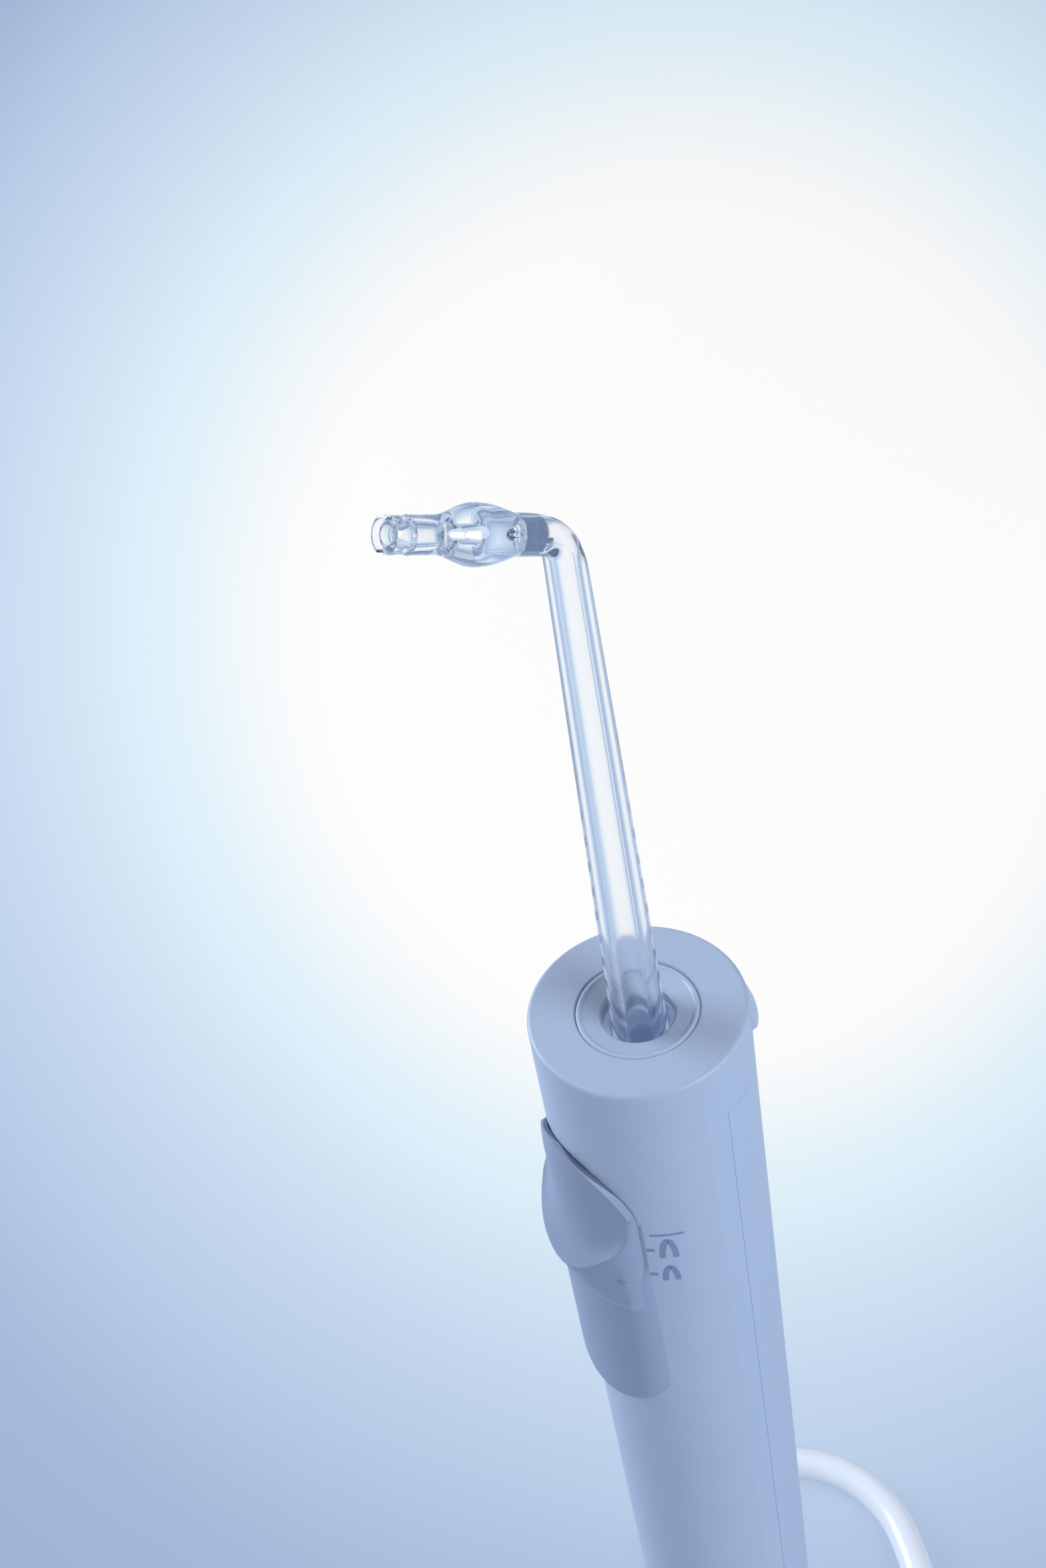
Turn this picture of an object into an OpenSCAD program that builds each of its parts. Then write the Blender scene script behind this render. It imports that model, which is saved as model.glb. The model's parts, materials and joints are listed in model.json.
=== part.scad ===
// Oral irrigator handpiece with a clear bent jet nozzle, a slide switch, a release button and a supply hose.
// Z runs up the handle axis, and Z = 0 is the lower end of the tail seat. The slide and the tip face -Y.
// A depth is counted down from the top face, and a reach is counted along the tip from the bend.

/* [Handle] */
// Diameter of the handle at its top face
handle_top_d = 28; // [27:0.25:31]
// Diameter of the handle at its lower end
handle_end_d = 26.4; // [26:0.2:29]
// Height of the top face above the tail seat
handle_h = 160; // [150:1:190]
// Thickness of the shell wall
wall = 1.6; // [1.3:0.1:1.8]
// Thickness of the top face
top_wall = 2.4; // [2:0.1:2.8]
// Rounding of the top edge
top_round = 0.6; // [0.3:0.1:0.9]
// Distance of the rear cover's seam behind the axis
seam_y = 3.2; // [2.5:0.1:4]
// Depth of the rear cover's upper edge
cover_depth = 10; // [8:0.5:14]
// Gap along the rear cover's seams
seam_gap = 0.15; // [0.1:0.05:0.3]

/* [Tail] */
// Diameter of the seat that stands in a holder
seat_d = 24.8; // [23:0.2:25.4]
// Length of the seat
seat_h = 14; // [10:0.5:18]
// Length of the spigot inside the shell
spigot_h = 10; // [8:0.5:14]
// Length of the strain relief below the seat
relief_h = 22; // [16:1:30]
// Diameter of the strain relief at its upper end
relief_top_d = 9.2; // [8.4:0.2:11]
// Diameter of the strain relief at its lower end
relief_end_d = 7.8; // [7.4:0.2:9]

/* [Nozzle] */
// Height of the bend above the top face
bend_h = 77; // [60:1:95]
// Angle through which the tip turns away from the stem
bend_angle = 61; // [45:1:75]
// Radius of the bend's centre line
bend_r = 3; // [2.6:0.1:5]
// Diameter of the stem at the top face
stem_d = 7; // [6.4:0.1:7.2]
// Diameter of the stem at the bend
neck_d = 4.56; // [4.2:0.02:5]
// Bore of the stem at its foot
foot_bore_d = 3.2; // [2.4:0.1:3.4]
// Bore of the stem at the bend
neck_bore_d = 2.36; // [2:0.02:2.6]
// Diameter of the nozzle foot
foot_d = 7.6; // [7.4:0.1:8]
// Length of the nozzle foot
foot_h = 25; // [24:0.5:27]

/* [Nozzle tip] */
// Reach of the seam between stem and bulb
bulb_start = 6.25; // [5.8:0.05:7]
// Reach of the widest part of the bulb
bulb_middle = 11.1; // [10:0.1:12]
// Reach of the end of the bulb
bulb_end = 16.2; // [15:0.1:17]
// Widest diameter of the bulb
bulb_d = 6.6; // [5.8:0.1:7.6]
// Diameter of the sleeve in front of the bulb
sleeve_d = 4.06; // [3.8:0.02:4.4]
// Reach of the seam between sleeve and outlet cap
cap_start = 19.4; // [18:0.1:20]
// Reach of the outlet's face
outlet_face = 21.7; // [21:0.1:22.5]
// Length of the half hood beyond the outlet's face
hood_rise = 0.6; // [0.3:0.1:1]
// Diameter of the outlet
outlet_d = 2.06; // [1.6:0.02:2.2]
// Diameter of the mixing chamber
cup_d = 3.4; // [3:0.1:3.5]
// Diameter of the narrow neck in front of the chamber
jet_neck_d = 1.5; // [1.2:0.1:1.8]
// Diameter of the filter sleeve's bore
filter_bore_d = 1.2; // [0.6:0.1:1.4]
// Length of the filter sleeve
filter_h = 2.4; // [1.8:0.1:2.8]

/* [Socket] */
// Diameter of the collar in the top face
collar_d = 15.8; // [14:0.2:16.4]
// Gap round the collar
collar_gap = 0.2; // [0.15:0.05:0.35]
// Diameter of the hole in the collar
collar_hole_d = 9.2; // [9:0.1:10]
// Depth of the spring clip that holds the nozzle
clip_depth = 15; // [14.5:0.1:15.5]
// Diameter of the clip's wire
clip_wire_d = 1; // [0.8:0.1:1.2]
// Travel of the release button
press_travel = 2; // [1.5:0.1:2.2]
// Width of the release button
button_w = 16; // [13:0.5:18]
// Height of the release button
button_h = 4.6; // [3.6:0.2:5]
// How far the button's lower edge stands out
button_rise = 1.2; // [0.8:0.1:1.6]

/* [Slide switch] */
// Width of the slide and of the plate under it
slide_w = 19.6; // [17:0.2:21]
// Depth of the slide's crest
crest_depth = 12.6; // [12:0.2:14]
// Depth where the crest's arch meets the straight sides
arch_depth = 26; // [24:0.5:27]
// Depth of the slide's lower edge
heel_depth = 45; // [42:0.5:46]
// How far the crest stands out from the handle
crest_rise = 2.7; // [2.4:0.1:3.4]
// How far the grip stands out from the handle
grip_rise = 2.8; // [2.2:0.1:3.2]
// Radius of the thumb dish
dish_r = 20; // [16:1:30]
// Travel of the slide
slide_travel = 5.4; // [4.5:0.1:6]
// Depth of the plate's lower end
plate_depth = 72; // [68:1:80]
// How far the plate stands out from the handle
plate_rise = 0.9; // [0.6:0.1:1.1]

/* [Valve] */
// Length of the valve body
valve_h = 33; // [32:0.5:38]
// Diameter of the valve spool
spool_d = 5.1; // [4.6:0.1:5.2]
// Length of the valve spool
spool_h = 20; // [19:0.5:21]

/* [Hose] */
// Outer diameter of the hose
hose_d = 6; // [5.4:0.1:6.2]
// Radius of the outer loop of the coil
coil_r = 40; // [38:0.5:44]
// Step between neighbouring loops
coil_step = 6.6; // [6.5:0.1:7]
// Loops in each of the two layers
coil_loops = 2; // [1:1:3]

/* [Hidden] */
$fn = 64;

shell_colour = [0.63, 0.71, 0.84];
switch_colour = [0.48, 0.55, 0.68];
clear_colour = [0.80, 0.88, 0.96, 0.5];
grey_colour = [0.47, 0.53, 0.66];
inner_colour = [0.90, 0.91, 0.93];
rubber_colour = [0.22, 0.23, 0.26];
steel_colour = [0.75, 0.76, 0.78];
hose_colour = [0.88, 0.92, 0.96];

// Small lengths that keep cuts clean and moving pieces clear
cut = 0.1;
bond = 0.02;
run_gap = 0.05;
seat_gap = 0.1;
clear = 0.3;
far = 60;

// Nozzle socket, as depths
flange_r = collar_d / 2 + 0.7;
flange_top = top_wall + 0.2;
flange_bottom = flange_top + 1.8;
block_top = flange_bottom + clear;
foot_top = flange_bottom + 0.6;
foot_bottom = foot_top + foot_h;
sleeve_bottom = clip_depth - clip_wire_d / 2 - 1.5;
block_bottom = foot_bottom + 3;
block_r = out_r(block_bottom, -wall) - 1.6;
flange_h = 3;
sleeve_r = foot_d / 2 + 1.6;
key_r = foot_d / 2 + 0.5;
key_w = 1.2;
key_bottom = foot_top + 6;
clip_groove_r = foot_d / 2 - 0.8;
clip_groove_h = clip_wire_d + 0.6;
clip_leg_x = clip_groove_r + seat_gap + clip_wire_d / 2;
clip_front = 3;
clip_back = 6.2;
seal_r = 0.66;
seal_depth = foot_bottom - 4;
seal_ring_r = foot_d / 2 + run_gap - bond * 2 - seal_r;
lead_h = 1.2;
lead_in = 0.6;
port_r = 1.2;
tube_r = 1.9;
tube_seat = 1;

// Section of the collar: a rounded rim, then a shallow dish down to the hole
collar_rim_r = 0.45;
collar_sink = 0.7;
collar_bevel = 0.3;

// Release button
button_top = 1;
button_bottom = button_top + button_h;
button_inner_r = flange_r + press_travel + clear;
arm_w = 8;
arm_t = 2.3;
arm_top = flange_bottom + 0.5;
arm_bottom = clip_depth + 1.4;
arm_back = chord_y(arm_bottom, arm_w) - clear - cut;
arm_front = arm_back - arm_t;
rear_flat = arm_front - press_travel - clear;
ear_x = 6;
ear_w = 14.4;
ear_depth = 11.5;
ear_h = 3;
spring_r = 1;
spring_wire_r = 0.2;
spring_turns = 5;
spring_rings = 8;
spring_sides = 6;
spring_floor = 3.5;
button_top_rise = 0.3;
ear_back = arm_front + 0.8;
wedge_gap = 0.2;
wedge_slope = 1;

// Slide switch
plate_top = arch_depth + 2;
plate_tip_h = 9;
plate_inset = 0.5;
slide_lift = 0.25;
heel_rise = plate_rise + 0.45;
grip_top = crest_depth + 6;
grip_bottom = heel_depth - 5;
dish_depth = arch_depth + 1;
dish_floor = 1.35;
arch_steps = 28;
neck_w = 4;
neck_top = 22.3;
neck_bottom = 30;
neck_front = -out_r(neck_top, slide_lift + 0.7);
carrier_w = 8;
carrier_t = 1.7;
carrier_top = neck_top - 0.5;
peg_r = 0.9;
leaf_t = 0.3;
leaf_w = 4;
leaf_top = block_top + 12;
leaf_gap = 0.3;
bump_r = 0.45;
notch_r = bump_r + 0.15;

// Valve, below the socket block
valve_top = block_bottom + 0.1;
valve_bottom = valve_top + valve_h;
spool_y = -5;
bore_r = spool_d / 2 + run_gap;
bore_top = valve_top + 4;
bore_bottom = valve_bottom - 1.6;
spool_bottom = bore_bottom - 0.6;
spool_top = spool_bottom - spool_h;
peg_depth = spool_top + 6;
peg_groove_h = 2 * peg_r + 0.2;
peg_groove_r = spool_d / 2 - 1;
spool_seal_r = 0.42;
spool_seal_ring_r = bore_r - run_gap - bond - spool_seal_r;
spool_seal_depths = [spool_top + 1.6, peg_depth + 2.6, spool_bottom - 1.6];
plug_r = bore_r + 0.3;
waist_top = peg_depth + 5;
waist_bottom = spool_bottom - 4;
cross_r = port_r - 0.2;
cross_lap = 0.3;
outlet_seat = 3;
inlet_seat = 4;
screw_r = 0.9;
screw_tip_gap = 0.5;
screw_head_r = 1.7;
screw_head_h = 1.4;
screw_slot_w = 0.5;
screw_slot_h = 0.6;
screw_x = 8.4;
screw_y = 4.2;
barb_h = 8;
barb_flange_h = 1;
barb_flange_r = tube_r + 1.4;
carrier_bottom = peg_depth + 1.6;
carrier_front = min(chord_y(carrier_top, carrier_w), chord_y(carrier_bottom, carrier_w)) - clear;
carrier_back = carrier_front - carrier_t;
bump_y = leaf_gap / 2 - carrier_back;
front_flat = carrier_back - leaf_t - leaf_gap;
detent_depth = carrier_bottom - slide_travel - 4;

// Tail
hose_r = hose_d / 2;
cap_floor = 3;
cap_cavity_r = 9.5;
relief_flange_r = 6.4;
relief_flange_h = 3;
relief_step = relief_h / 8;
relief_groove_h = 0.4 * relief_step;
relief_core_r = hose_r + 0.5;
spigot_out = handle_end_d / 2 - wall - seat_gap;
tail_seal_r = 0.55;
tail_seal_z = seat_h + spigot_h - 3;

// Tabs of the rear cover, which reach behind the shell's edges
cover_bottom = handle_h - seat_h;
tab_depths = [cover_depth + 12, 0.62 * cover_bottom, cover_bottom - spigot_h - 8];
tab_half = 3;
tab_reach = 2.5;
tab_t = 1;
tab_root = 0.5;

// Nozzle, above the top face
bend_z = handle_h + bend_h;
bend_back = bend_r * tan(bend_angle / 2);
bend_lap = 0.2;
stem_base_z = handle_h - foot_top + bond;
spigot_r = stem_d / 2 - 0.9;
spigot_len = 6;
filter_start = bend_back + 0.45;
cup_start = bulb_start - 0.5;
cup_front = bulb_middle - 0.1;
cup_bevel_h = 0.5;
cup_bevel_r = cup_d / 2 - 0.4;
neck_end = bulb_middle + 3;
jet_bore_r = 0.25;
jet_disc_h = 0.6;
jet_h = 1.95;
jet_cone_r = 1.05;
jet_tip_wall = 0.15;
outlet_ring_r = outlet_d / 2 + 0.38;
hood_wall = 0.35;
hood_slot = 1.2;
profile_steps = 14;

// Hose, laid on the surface below the handle
floor_z = -54;
coil_z = floor_z + 1.2;
coil_layer = 6.6;
coil_turns = 2 * coil_loops - 0.5;
coil_rings = 24;
coil_entry = [52, 38];
coil_middle = coil_entry - [0, coil_r];
entry_turn = 90;
entry_heading = [1, 0, 0];
exit_heading = [-1, 0, 0];
hose_route = [[0, 0, -22], [-0.4, 0, -31.7], [-3.8, 0.3, -40.9], [-10, 0.9, -48], [-18.1, 1.6, -52.5],
    [-26.9, 2.4, -54], [-36.8, 5.5, -54], [-44.4, 12.7, -54], [-48.1, 22.4, -54], [-47.3, 32.7, -54],
    [-42.1, 41.7, -54], [-33.5, 47.6, -54], [-23.2, 49.2, -54], [-13, 46.6, -54], [-3, 42.4, -54],
    [7, 39.3, -54], [17, 38.1, -54], [27, 38, -53.6], [37, 38, -53], [46, 38, -52.8]];
tail_route = [[46, -42, -46.2], [40, -42, -46.2], [33, -42, -47], [25, -42, -49.2], [17, -42, -51.4],
    [12, -42, -52], [8, -42, -52], [4, -42, -52]];
route_steps = 3;
hose_sides = 10;
coil_sides = 6;
tie_turn = 60;
tie_w = 5;
tie_wall = 0.8;
tie_gap = 0.4;
plug_body_r = 5;
plug_body_h = 18;
plug_pin_r = 3;
plug_pin_h = 10;
plug_flutes = 12;
flute_r = 0.8;
flute_sink = 0.4;
flute_margin = 3;
connector_seal_r = 0.6;
connector_seal_z = plug_body_h + 2;
seal_groove_play = 0.2;

// Radius of the handle at a height
function handle_r(height) =
    (handle_end_d + (handle_top_d - handle_end_d) * (height - seat_h) / (handle_h - seat_h)) / 2;

// Height of a depth
function up(depth) = handle_h - depth;

// Radius that stands out from the handle at a depth
function out_r(depth, rise) = handle_r(up(depth)) + rise;

// Distance from the axis to the middle of a chord across the shell's inside at a depth
function chord_y(depth, width) = sqrt(out_r(depth, -wall) ^ 2 - (width / 2) ^ 2);

// A point of a turned profile, from a depth and a rise
function at(depth, rise) = [out_r(depth, rise), up(depth)];

// Outlines of the slide and the plate, seen from the front
function slide_outline() = let (half = slide_w / 2, tall = arch_depth - crest_depth)
    concat([for (step = [0:arch_steps]) let (turn = 180 * step / arch_steps)
            [half * cos(turn), up(arch_depth) + tall * sin(turn)]],
        [[-half, up(heel_depth)], [half, up(heel_depth)]]);

function plate_outline(grow) = let (half = slide_w / 2 + grow, tall = plate_tip_h + grow)
    concat([for (step = [0:arch_steps]) let (turn = -180 * step / arch_steps)
            [half * cos(turn), up(plate_depth - plate_tip_h) + tall * sin(turn)]],
        [[-half, up(plate_top - grow)], [half, up(plate_top - grow)]]);

// Radius of the bulb at a reach
function bulb_r(reach) = reach < bulb_middle
    ? neck_d / 2 + (bulb_d - neck_d) / 2 * sin(90 * (reach - bulb_start) / (bulb_middle - bulb_start))
    : sleeve_d / 2 + (bulb_d - sleeve_d) / 4
        * (1 + cos(180 * min(1, (reach - bulb_middle) / (bulb_end - bulb_middle))));

function bulb_line(start, end) = [for (step = [0:profile_steps])
    let (reach = start + (end - start) * step / profile_steps) [bulb_r(reach), reach]];

// A smooth line through route points, with steps between each pair
function smooth_point(before, here, next, after, part) = 0.5 * (2 * here + (next - before) * part
    + (2 * before - 5 * here + 4 * next - after) * part ^ 2
    + (3 * here - before - 3 * next + after) * part ^ 3);

function smooth_line(route, steps) = let (last = len(route) - 1) concat(
    [for (leg = [0:last - 1], step = [0:steps - 1])
        smooth_point(route[max(0, leg - 1)], route[leg], route[leg + 1], route[min(last, leg + 2)],
            step / steps)],
    [route[last]]);

// Directions along a line, and side vectors that turn as little as they can
function heading_at(line, spot) = let (step = line[min(len(line) - 1, spot + 1)] - line[max(0, spot - 1)])
    step / norm(step);

function square_to(side, heading) = let (flat = side - (side * heading) * heading) flat / norm(flat);

function side_vectors(line, first) = [for (spot = 0, side = square_to(first, heading_at(line, 0));
    spot < len(line); spot = spot + 1,
    side = square_to(side, heading_at(line, min(spot, len(line) - 1)))) side];

// Length of a line, and the least gap of a tube to itself
function line_length(line, spot = 1) = spot >= len(line) ? 0
    : norm(line[spot] - line[spot - 1]) + line_length(line, spot + 1);

function least_gap(line, width, apart) = min([for (spot = [0:len(line) - 1 - apart],
    other = [spot + apart:len(line) - 1]) norm(line[spot] - line[other])]) - width;

// Points of the coil: loops spiral in on the lower layer and out again on the upper one
function coil_spot(turn) = let (
    inward = min(turn, coil_turns - turn),
    radius = coil_r - coil_step * inward,
    climb = min(1, max(0, (turn - coil_turns / 2 + 0.25) * 2)),
    bearing = entry_turn - 360 * turn)
    [coil_middle[0] + radius * cos(bearing), coil_middle[1] + radius * sin(bearing),
        coil_z + coil_layer * climb];

coil_start = coil_spot(0);
coil_finish = coil_spot(coil_turns);
coil_line = concat([coil_start - hose_d * entry_heading],
    [for (ring = [0:coil_rings * coil_turns]) coil_spot(ring / coil_rings)],
    [coil_finish + hose_d * exit_heading]);
run_line = smooth_line(hose_route, route_steps);
tail_line = smooth_line(tail_route, route_steps);

// Points of a spring along Y
function spring_line(start, end) = let (last = spring_rings * spring_turns)
    [for (ring = [0:last]) let (turn = 360 * ring / spring_rings)
        [spring_r * cos(turn), start + (end - start) * ring / last, spring_r * sin(turn)]];

// A tube swept along a line, with triangular faces
module swept_tube(line, radius, sides, first) {
    side_list = side_vectors(line, first);
    rings = len(line);
    points = [for (spot = [0:rings - 1], corner = [0:sides - 1])
        let (heading = heading_at(line, spot), turn = 360 * corner / sides)
        line[spot] + radius * (cos(turn) * side_list[spot] + sin(turn) * cross(heading, side_list[spot]))];
    walls = [for (spot = [0:rings - 2], corner = [0:sides - 1])
        let (here = spot * sides + corner, beside = spot * sides + (corner + 1) % sides)
        each [[here, here + sides, beside], [beside, here + sides, beside + sides]]];
    start_cap = [for (corner = [1:sides - 2]) [0, corner, corner + 1]];
    end_cap = let (base = (rings - 1) * sides)
        [for (corner = [1:sides - 2]) [base, base + corner + 1, base + corner]];
    polyhedron(points, concat(walls, start_cap, end_cap));
}

// A cone that follows the handle between two depths
module handle_cone(upper, lower, rise) {
    translate([0, 0, up(lower)])
        cylinder(h = lower - upper, r1 = out_r(lower, rise), r2 = out_r(upper, rise));
}

// A straight cylinder between two depths
module post(upper, lower, radius) {
    translate([0, 0, up(lower)]) cylinder(h = lower - upper, r = radius);
}

// A ring between two depths
module ring(upper, lower, outer, inner) {
    difference() {
        post(upper, lower, outer);
        post(upper - cut, lower + cut, inner);
    }
}

// A block centred on X, between two Y values and two depths
module block(width, front, back, upper, lower) {
    translate([-width / 2, front, up(lower)]) cube([width, back - front, lower - upper]);
}

// An outline seen from the front, extruded from the axis outwards
module front_prism(outline) {
    rotate([90, 0, 0]) linear_extrude(handle_top_d) polygon(outline);
}

// Placement along the tip, with the reach as local Z
module at_tip() {
    translate([0, 0, bend_z]) rotate([bend_angle, 0, 0]) children();
}

// A cylinder or cone between two reaches
module tip_post(start, end, first, last) {
    translate([0, 0, start]) cylinder(h = end - start, r1 = first, r2 = last);
}

// The stem's run from a height through the bend to the bulb, for its wall and for its bore
module stem_run(base_z, top_r, end_r, end_reach) {
    straight = bend_z - bend_back;
    base_r = end_r + (top_r - end_r) * (straight - base_z) / (straight - handle_h);
    translate([0, 0, base_z]) cylinder(h = straight - base_z + bend_lap, r1 = base_r, r2 = end_r);
    translate([0, -bend_r, straight]) rotate([90, 0, 90])
        rotate_extrude(angle = bend_angle) translate([bend_r, 0]) circle(r = end_r + bond);
    at_tip() tip_post(bend_back - bend_lap, end_reach, end_r, end_r);
}

module nozzle_stem() {
    color(clear_colour) difference() {
        union() {
            stem_run(stem_base_z, stem_d / 2, neck_d / 2, bulb_start);
            post(foot_top - cut, foot_top + spigot_len, spigot_r);
        }
        stem_run(up(foot_top + spigot_len + cut), foot_bore_d / 2, neck_bore_d / 2, bulb_start + cut);
        at_tip() tip_post(cup_start, bulb_start + cut, cup_d / 2 + bond, cup_d / 2 + bond);
    }
}

module bulb_shell() {
    chamber_r = cup_d / 2 + bond;
    outer = concat([[0, bulb_start + bond]], bulb_line(bulb_start + bond, bulb_end),
        [[sleeve_d / 2, cap_start - bond], [0, cap_start - bond]]);
    inner = [[0, bulb_start - cut], [chamber_r, bulb_start - cut], [chamber_r, cup_front - cup_bevel_h],
        [cup_bevel_r, cup_front], [jet_neck_d / 2, cup_front], [jet_neck_d / 2, neck_end],
        [outlet_d / 2, cap_start], [outlet_d / 2, cap_start + cut], [0, cap_start + cut]];
    color(clear_colour) at_tip() difference() {
        rotate_extrude() polygon(outer);
        rotate_extrude() polygon(inner);
    }
}

module outlet_cap() {
    color(clear_colour) at_tip() difference() {
        union() {
            tip_post(cap_start, outlet_face, sleeve_d / 2 - run_gap, sleeve_d / 2 - run_gap);
            intersection() {
                tip_post(outlet_face - cut, outlet_face + hood_rise, sleeve_d / 2 - run_gap,
                    sleeve_d / 2 - run_gap);
                translate([-far, -far / 2, 0]) cube([far, far, far]);
            }
        }
        tip_post(cap_start - cut, outlet_face + hood_rise + cut, outlet_d / 2, outlet_d / 2);
        intersection() {
            difference() {
                tip_post(outlet_face - hood_slot, outlet_face + hood_rise + cut,
                    sleeve_d / 2 - run_gap - hood_wall, sleeve_d / 2 - run_gap - hood_wall);
                tip_post(outlet_face - hood_slot - cut, outlet_face, outlet_ring_r, outlet_ring_r);
            }
            translate([-far, -far / 2, 0]) cube([far, far, far]);
        }
    }
}

module mixing_jet() {
    disc_front = cup_start + jet_disc_h;
    jet_front = cup_start + jet_h;
    color(clear_colour) at_tip() rotate_extrude() polygon([[jet_bore_r, cup_start + bond],
        [cup_d / 2, cup_start + bond], [cup_d / 2, disc_front], [jet_cone_r, disc_front],
        [jet_bore_r + jet_tip_wall, jet_front], [jet_bore_r, jet_front]]);
}

module filter_sleeve() {
    color(grey_colour) at_tip() difference() {
        tip_post(filter_start, filter_start + filter_h, neck_bore_d / 2 - bond, neck_bore_d / 2 - bond);
        tip_post(filter_start - cut, filter_start + filter_h + cut, filter_bore_d / 2, filter_bore_d / 2);
    }
}

module nozzle_foot() {
    groove_half = clip_groove_h / 2;
    color(grey_colour) difference() {
        union() {
            post(foot_top, foot_bottom - lead_h, foot_d / 2);
            translate([0, 0, up(foot_bottom)])
                cylinder(h = lead_h, r1 = foot_d / 2 - lead_in, r2 = foot_d / 2);
            intersection() {
                post(foot_top, key_bottom, key_r);
                block(key_w, -far, far, foot_top, key_bottom);
            }
        }
        post(foot_top - cut, foot_bottom + cut, foot_bore_d / 2);
        post(foot_top - cut, foot_top + spigot_len + cut, spigot_r + bond);
        ring(clip_depth - groove_half, clip_depth + groove_half, foot_d, clip_groove_r);
        ring(seal_depth - seal_r - cut, seal_depth + seal_r + cut, foot_d, seal_ring_r - seal_r - bond);
    }
}

module nozzle_seal() {
    color(rubber_colour) translate([0, 0, up(seal_depth)])
        rotate_extrude() translate([seal_ring_r, 0]) circle(r = seal_r);
}

// The handle's outer form, with its rounded top edge
module handle_form() {
    corner = [handle_top_d / 2 - top_round, handle_h - top_round];
    rotate_extrude() {
        polygon([[0, seat_h], [handle_end_d / 2, seat_h], at(top_round, 0), corner, [corner[0], handle_h],
            [0, handle_h]]);
        translate(corner) circle(r = top_round);
    }
}

module body_shell() {
    color(shell_colour) difference() {
        handle_form();
        handle_cone(top_wall, cover_bottom + cut, -wall);
        post(-cut, top_wall + cut, collar_d / 2 + collar_gap);
        block(far, seam_y, far, cover_depth, cover_bottom + cut);
        block(button_w + 2 * clear, rear_flat, far, button_top - clear, button_bottom + clear);
        block(neck_w + 2 * clear, -far, 0, neck_top - slide_travel - clear, neck_bottom + clear);
        difference() {
            front_prism(plate_outline(seat_gap));
            handle_cone(0, cover_bottom, -plate_inset - run_gap);
        }
    }
}

// A band that follows the handle between two depths, with its outer and inner faces as rises
module handle_band(upper, lower, outer, inner) {
    difference() {
        handle_cone(upper, lower, outer);
        handle_cone(upper - cut, lower + cut, inner);
    }
}

module rear_cover() {
    color(shell_colour) {
        intersection() {
            handle_band(cover_depth + seam_gap, cover_bottom, 0, -wall);
            block(far, seam_y + seam_gap, far, cover_depth, cover_bottom);
        }
        for (depth = tab_depths) {
            upper = depth - tab_half;
            lower = depth + tab_half;
            intersection() {
                handle_band(upper, lower, -wall - seat_gap, -wall - seat_gap - tab_t);
                block(far, seam_y - tab_reach, seam_y + tab_reach, upper, lower);
            }
            intersection() {
                handle_band(upper, lower, -wall / 2, -wall - tab_root);
                block(far, seam_y + seam_gap, seam_y + tab_reach, upper, lower);
            }
        }
    }
}

module collar_ring() {
    hole_r = collar_hole_d / 2;
    rim_middle = collar_d / 2 - collar_rim_r;
    color(shell_colour) rotate_extrude() {
        polygon([[sleeve_r + bond, up(flange_bottom)], [flange_r, up(flange_bottom)],
            [flange_r, up(flange_top)], [collar_d / 2, up(flange_top)], [collar_d / 2, up(collar_rim_r)],
            [rim_middle, handle_h], [rim_middle - collar_rim_r, up(collar_rim_r / 2)],
            [hole_r + collar_bevel, up(collar_sink)], [hole_r, up(collar_sink + collar_bevel)],
            [hole_r, up(flange_top)], [sleeve_r + bond, up(flange_top)]]);
        translate([rim_middle, up(collar_rim_r)]) circle(r = collar_rim_r);
    }
}

module turn_sleeve() {
    color(inner_colour) difference() {
        post(flange_top + bond, sleeve_bottom, sleeve_r);
        post(flange_top - cut, sleeve_bottom + cut, foot_d / 2 + run_gap);
        intersection() {
            post(flange_top - cut, key_bottom + clear, key_r + seat_gap);
            block(key_w + 2 * seat_gap, -far, far, flange_top - cut, key_bottom + clear);
        }
    }
}

module socket_block() {
    chamber_half = clip_groove_h / 2;
    color(inner_colour) difference() {
        union() {
            post(block_top, block_bottom, block_r);
            handle_cone(block_bottom - flange_h, block_bottom, -wall - seat_gap);
        }
        post(block_top - cut, sleeve_bottom + clear, sleeve_r + run_gap);
        post(sleeve_bottom, foot_bottom + clear, foot_d / 2 + run_gap);
        post(foot_bottom, block_bottom + cut, port_r);
        post(foot_bottom + tube_seat, block_bottom + cut, tube_r + bond);
        block(2 * (clip_leg_x + clip_wire_d), -clip_front - clip_leg_x - clip_wire_d, far,
            clip_depth - chamber_half, clip_depth + chamber_half);
        block(far, -far, -front_flat, block_top - cut, block_bottom + cut);
        block(far, rear_flat, far, block_top - cut, arm_bottom + clear);
        for (side = [-1, 1]) {
            translate([side * ear_x, spring_floor, up(ear_depth)]) rotate([-90, 0, 0])
                cylinder(h = far, r = spring_r + spring_wire_r + seat_gap);
            translate([side * screw_x, screw_y, 0])
                post(block_bottom - flange_h + cut, block_bottom + cut, screw_r + bond);
        }
    }
}

module nozzle_clip() {
    wire_r = clip_wire_d / 2;
    color(steel_colour) translate([0, 0, up(clip_depth)]) {
        for (side = [-1, 1]) {
            translate([side * clip_leg_x, -clip_front, 0]) rotate([-90, 0, 0])
                cylinder(h = clip_front + clip_back, r = wire_r);
        }
        translate([0, -clip_front, 0]) rotate([0, 0, 180])
            rotate_extrude(angle = 180) translate([clip_leg_x, 0]) circle(r = wire_r);
    }
}

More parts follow.
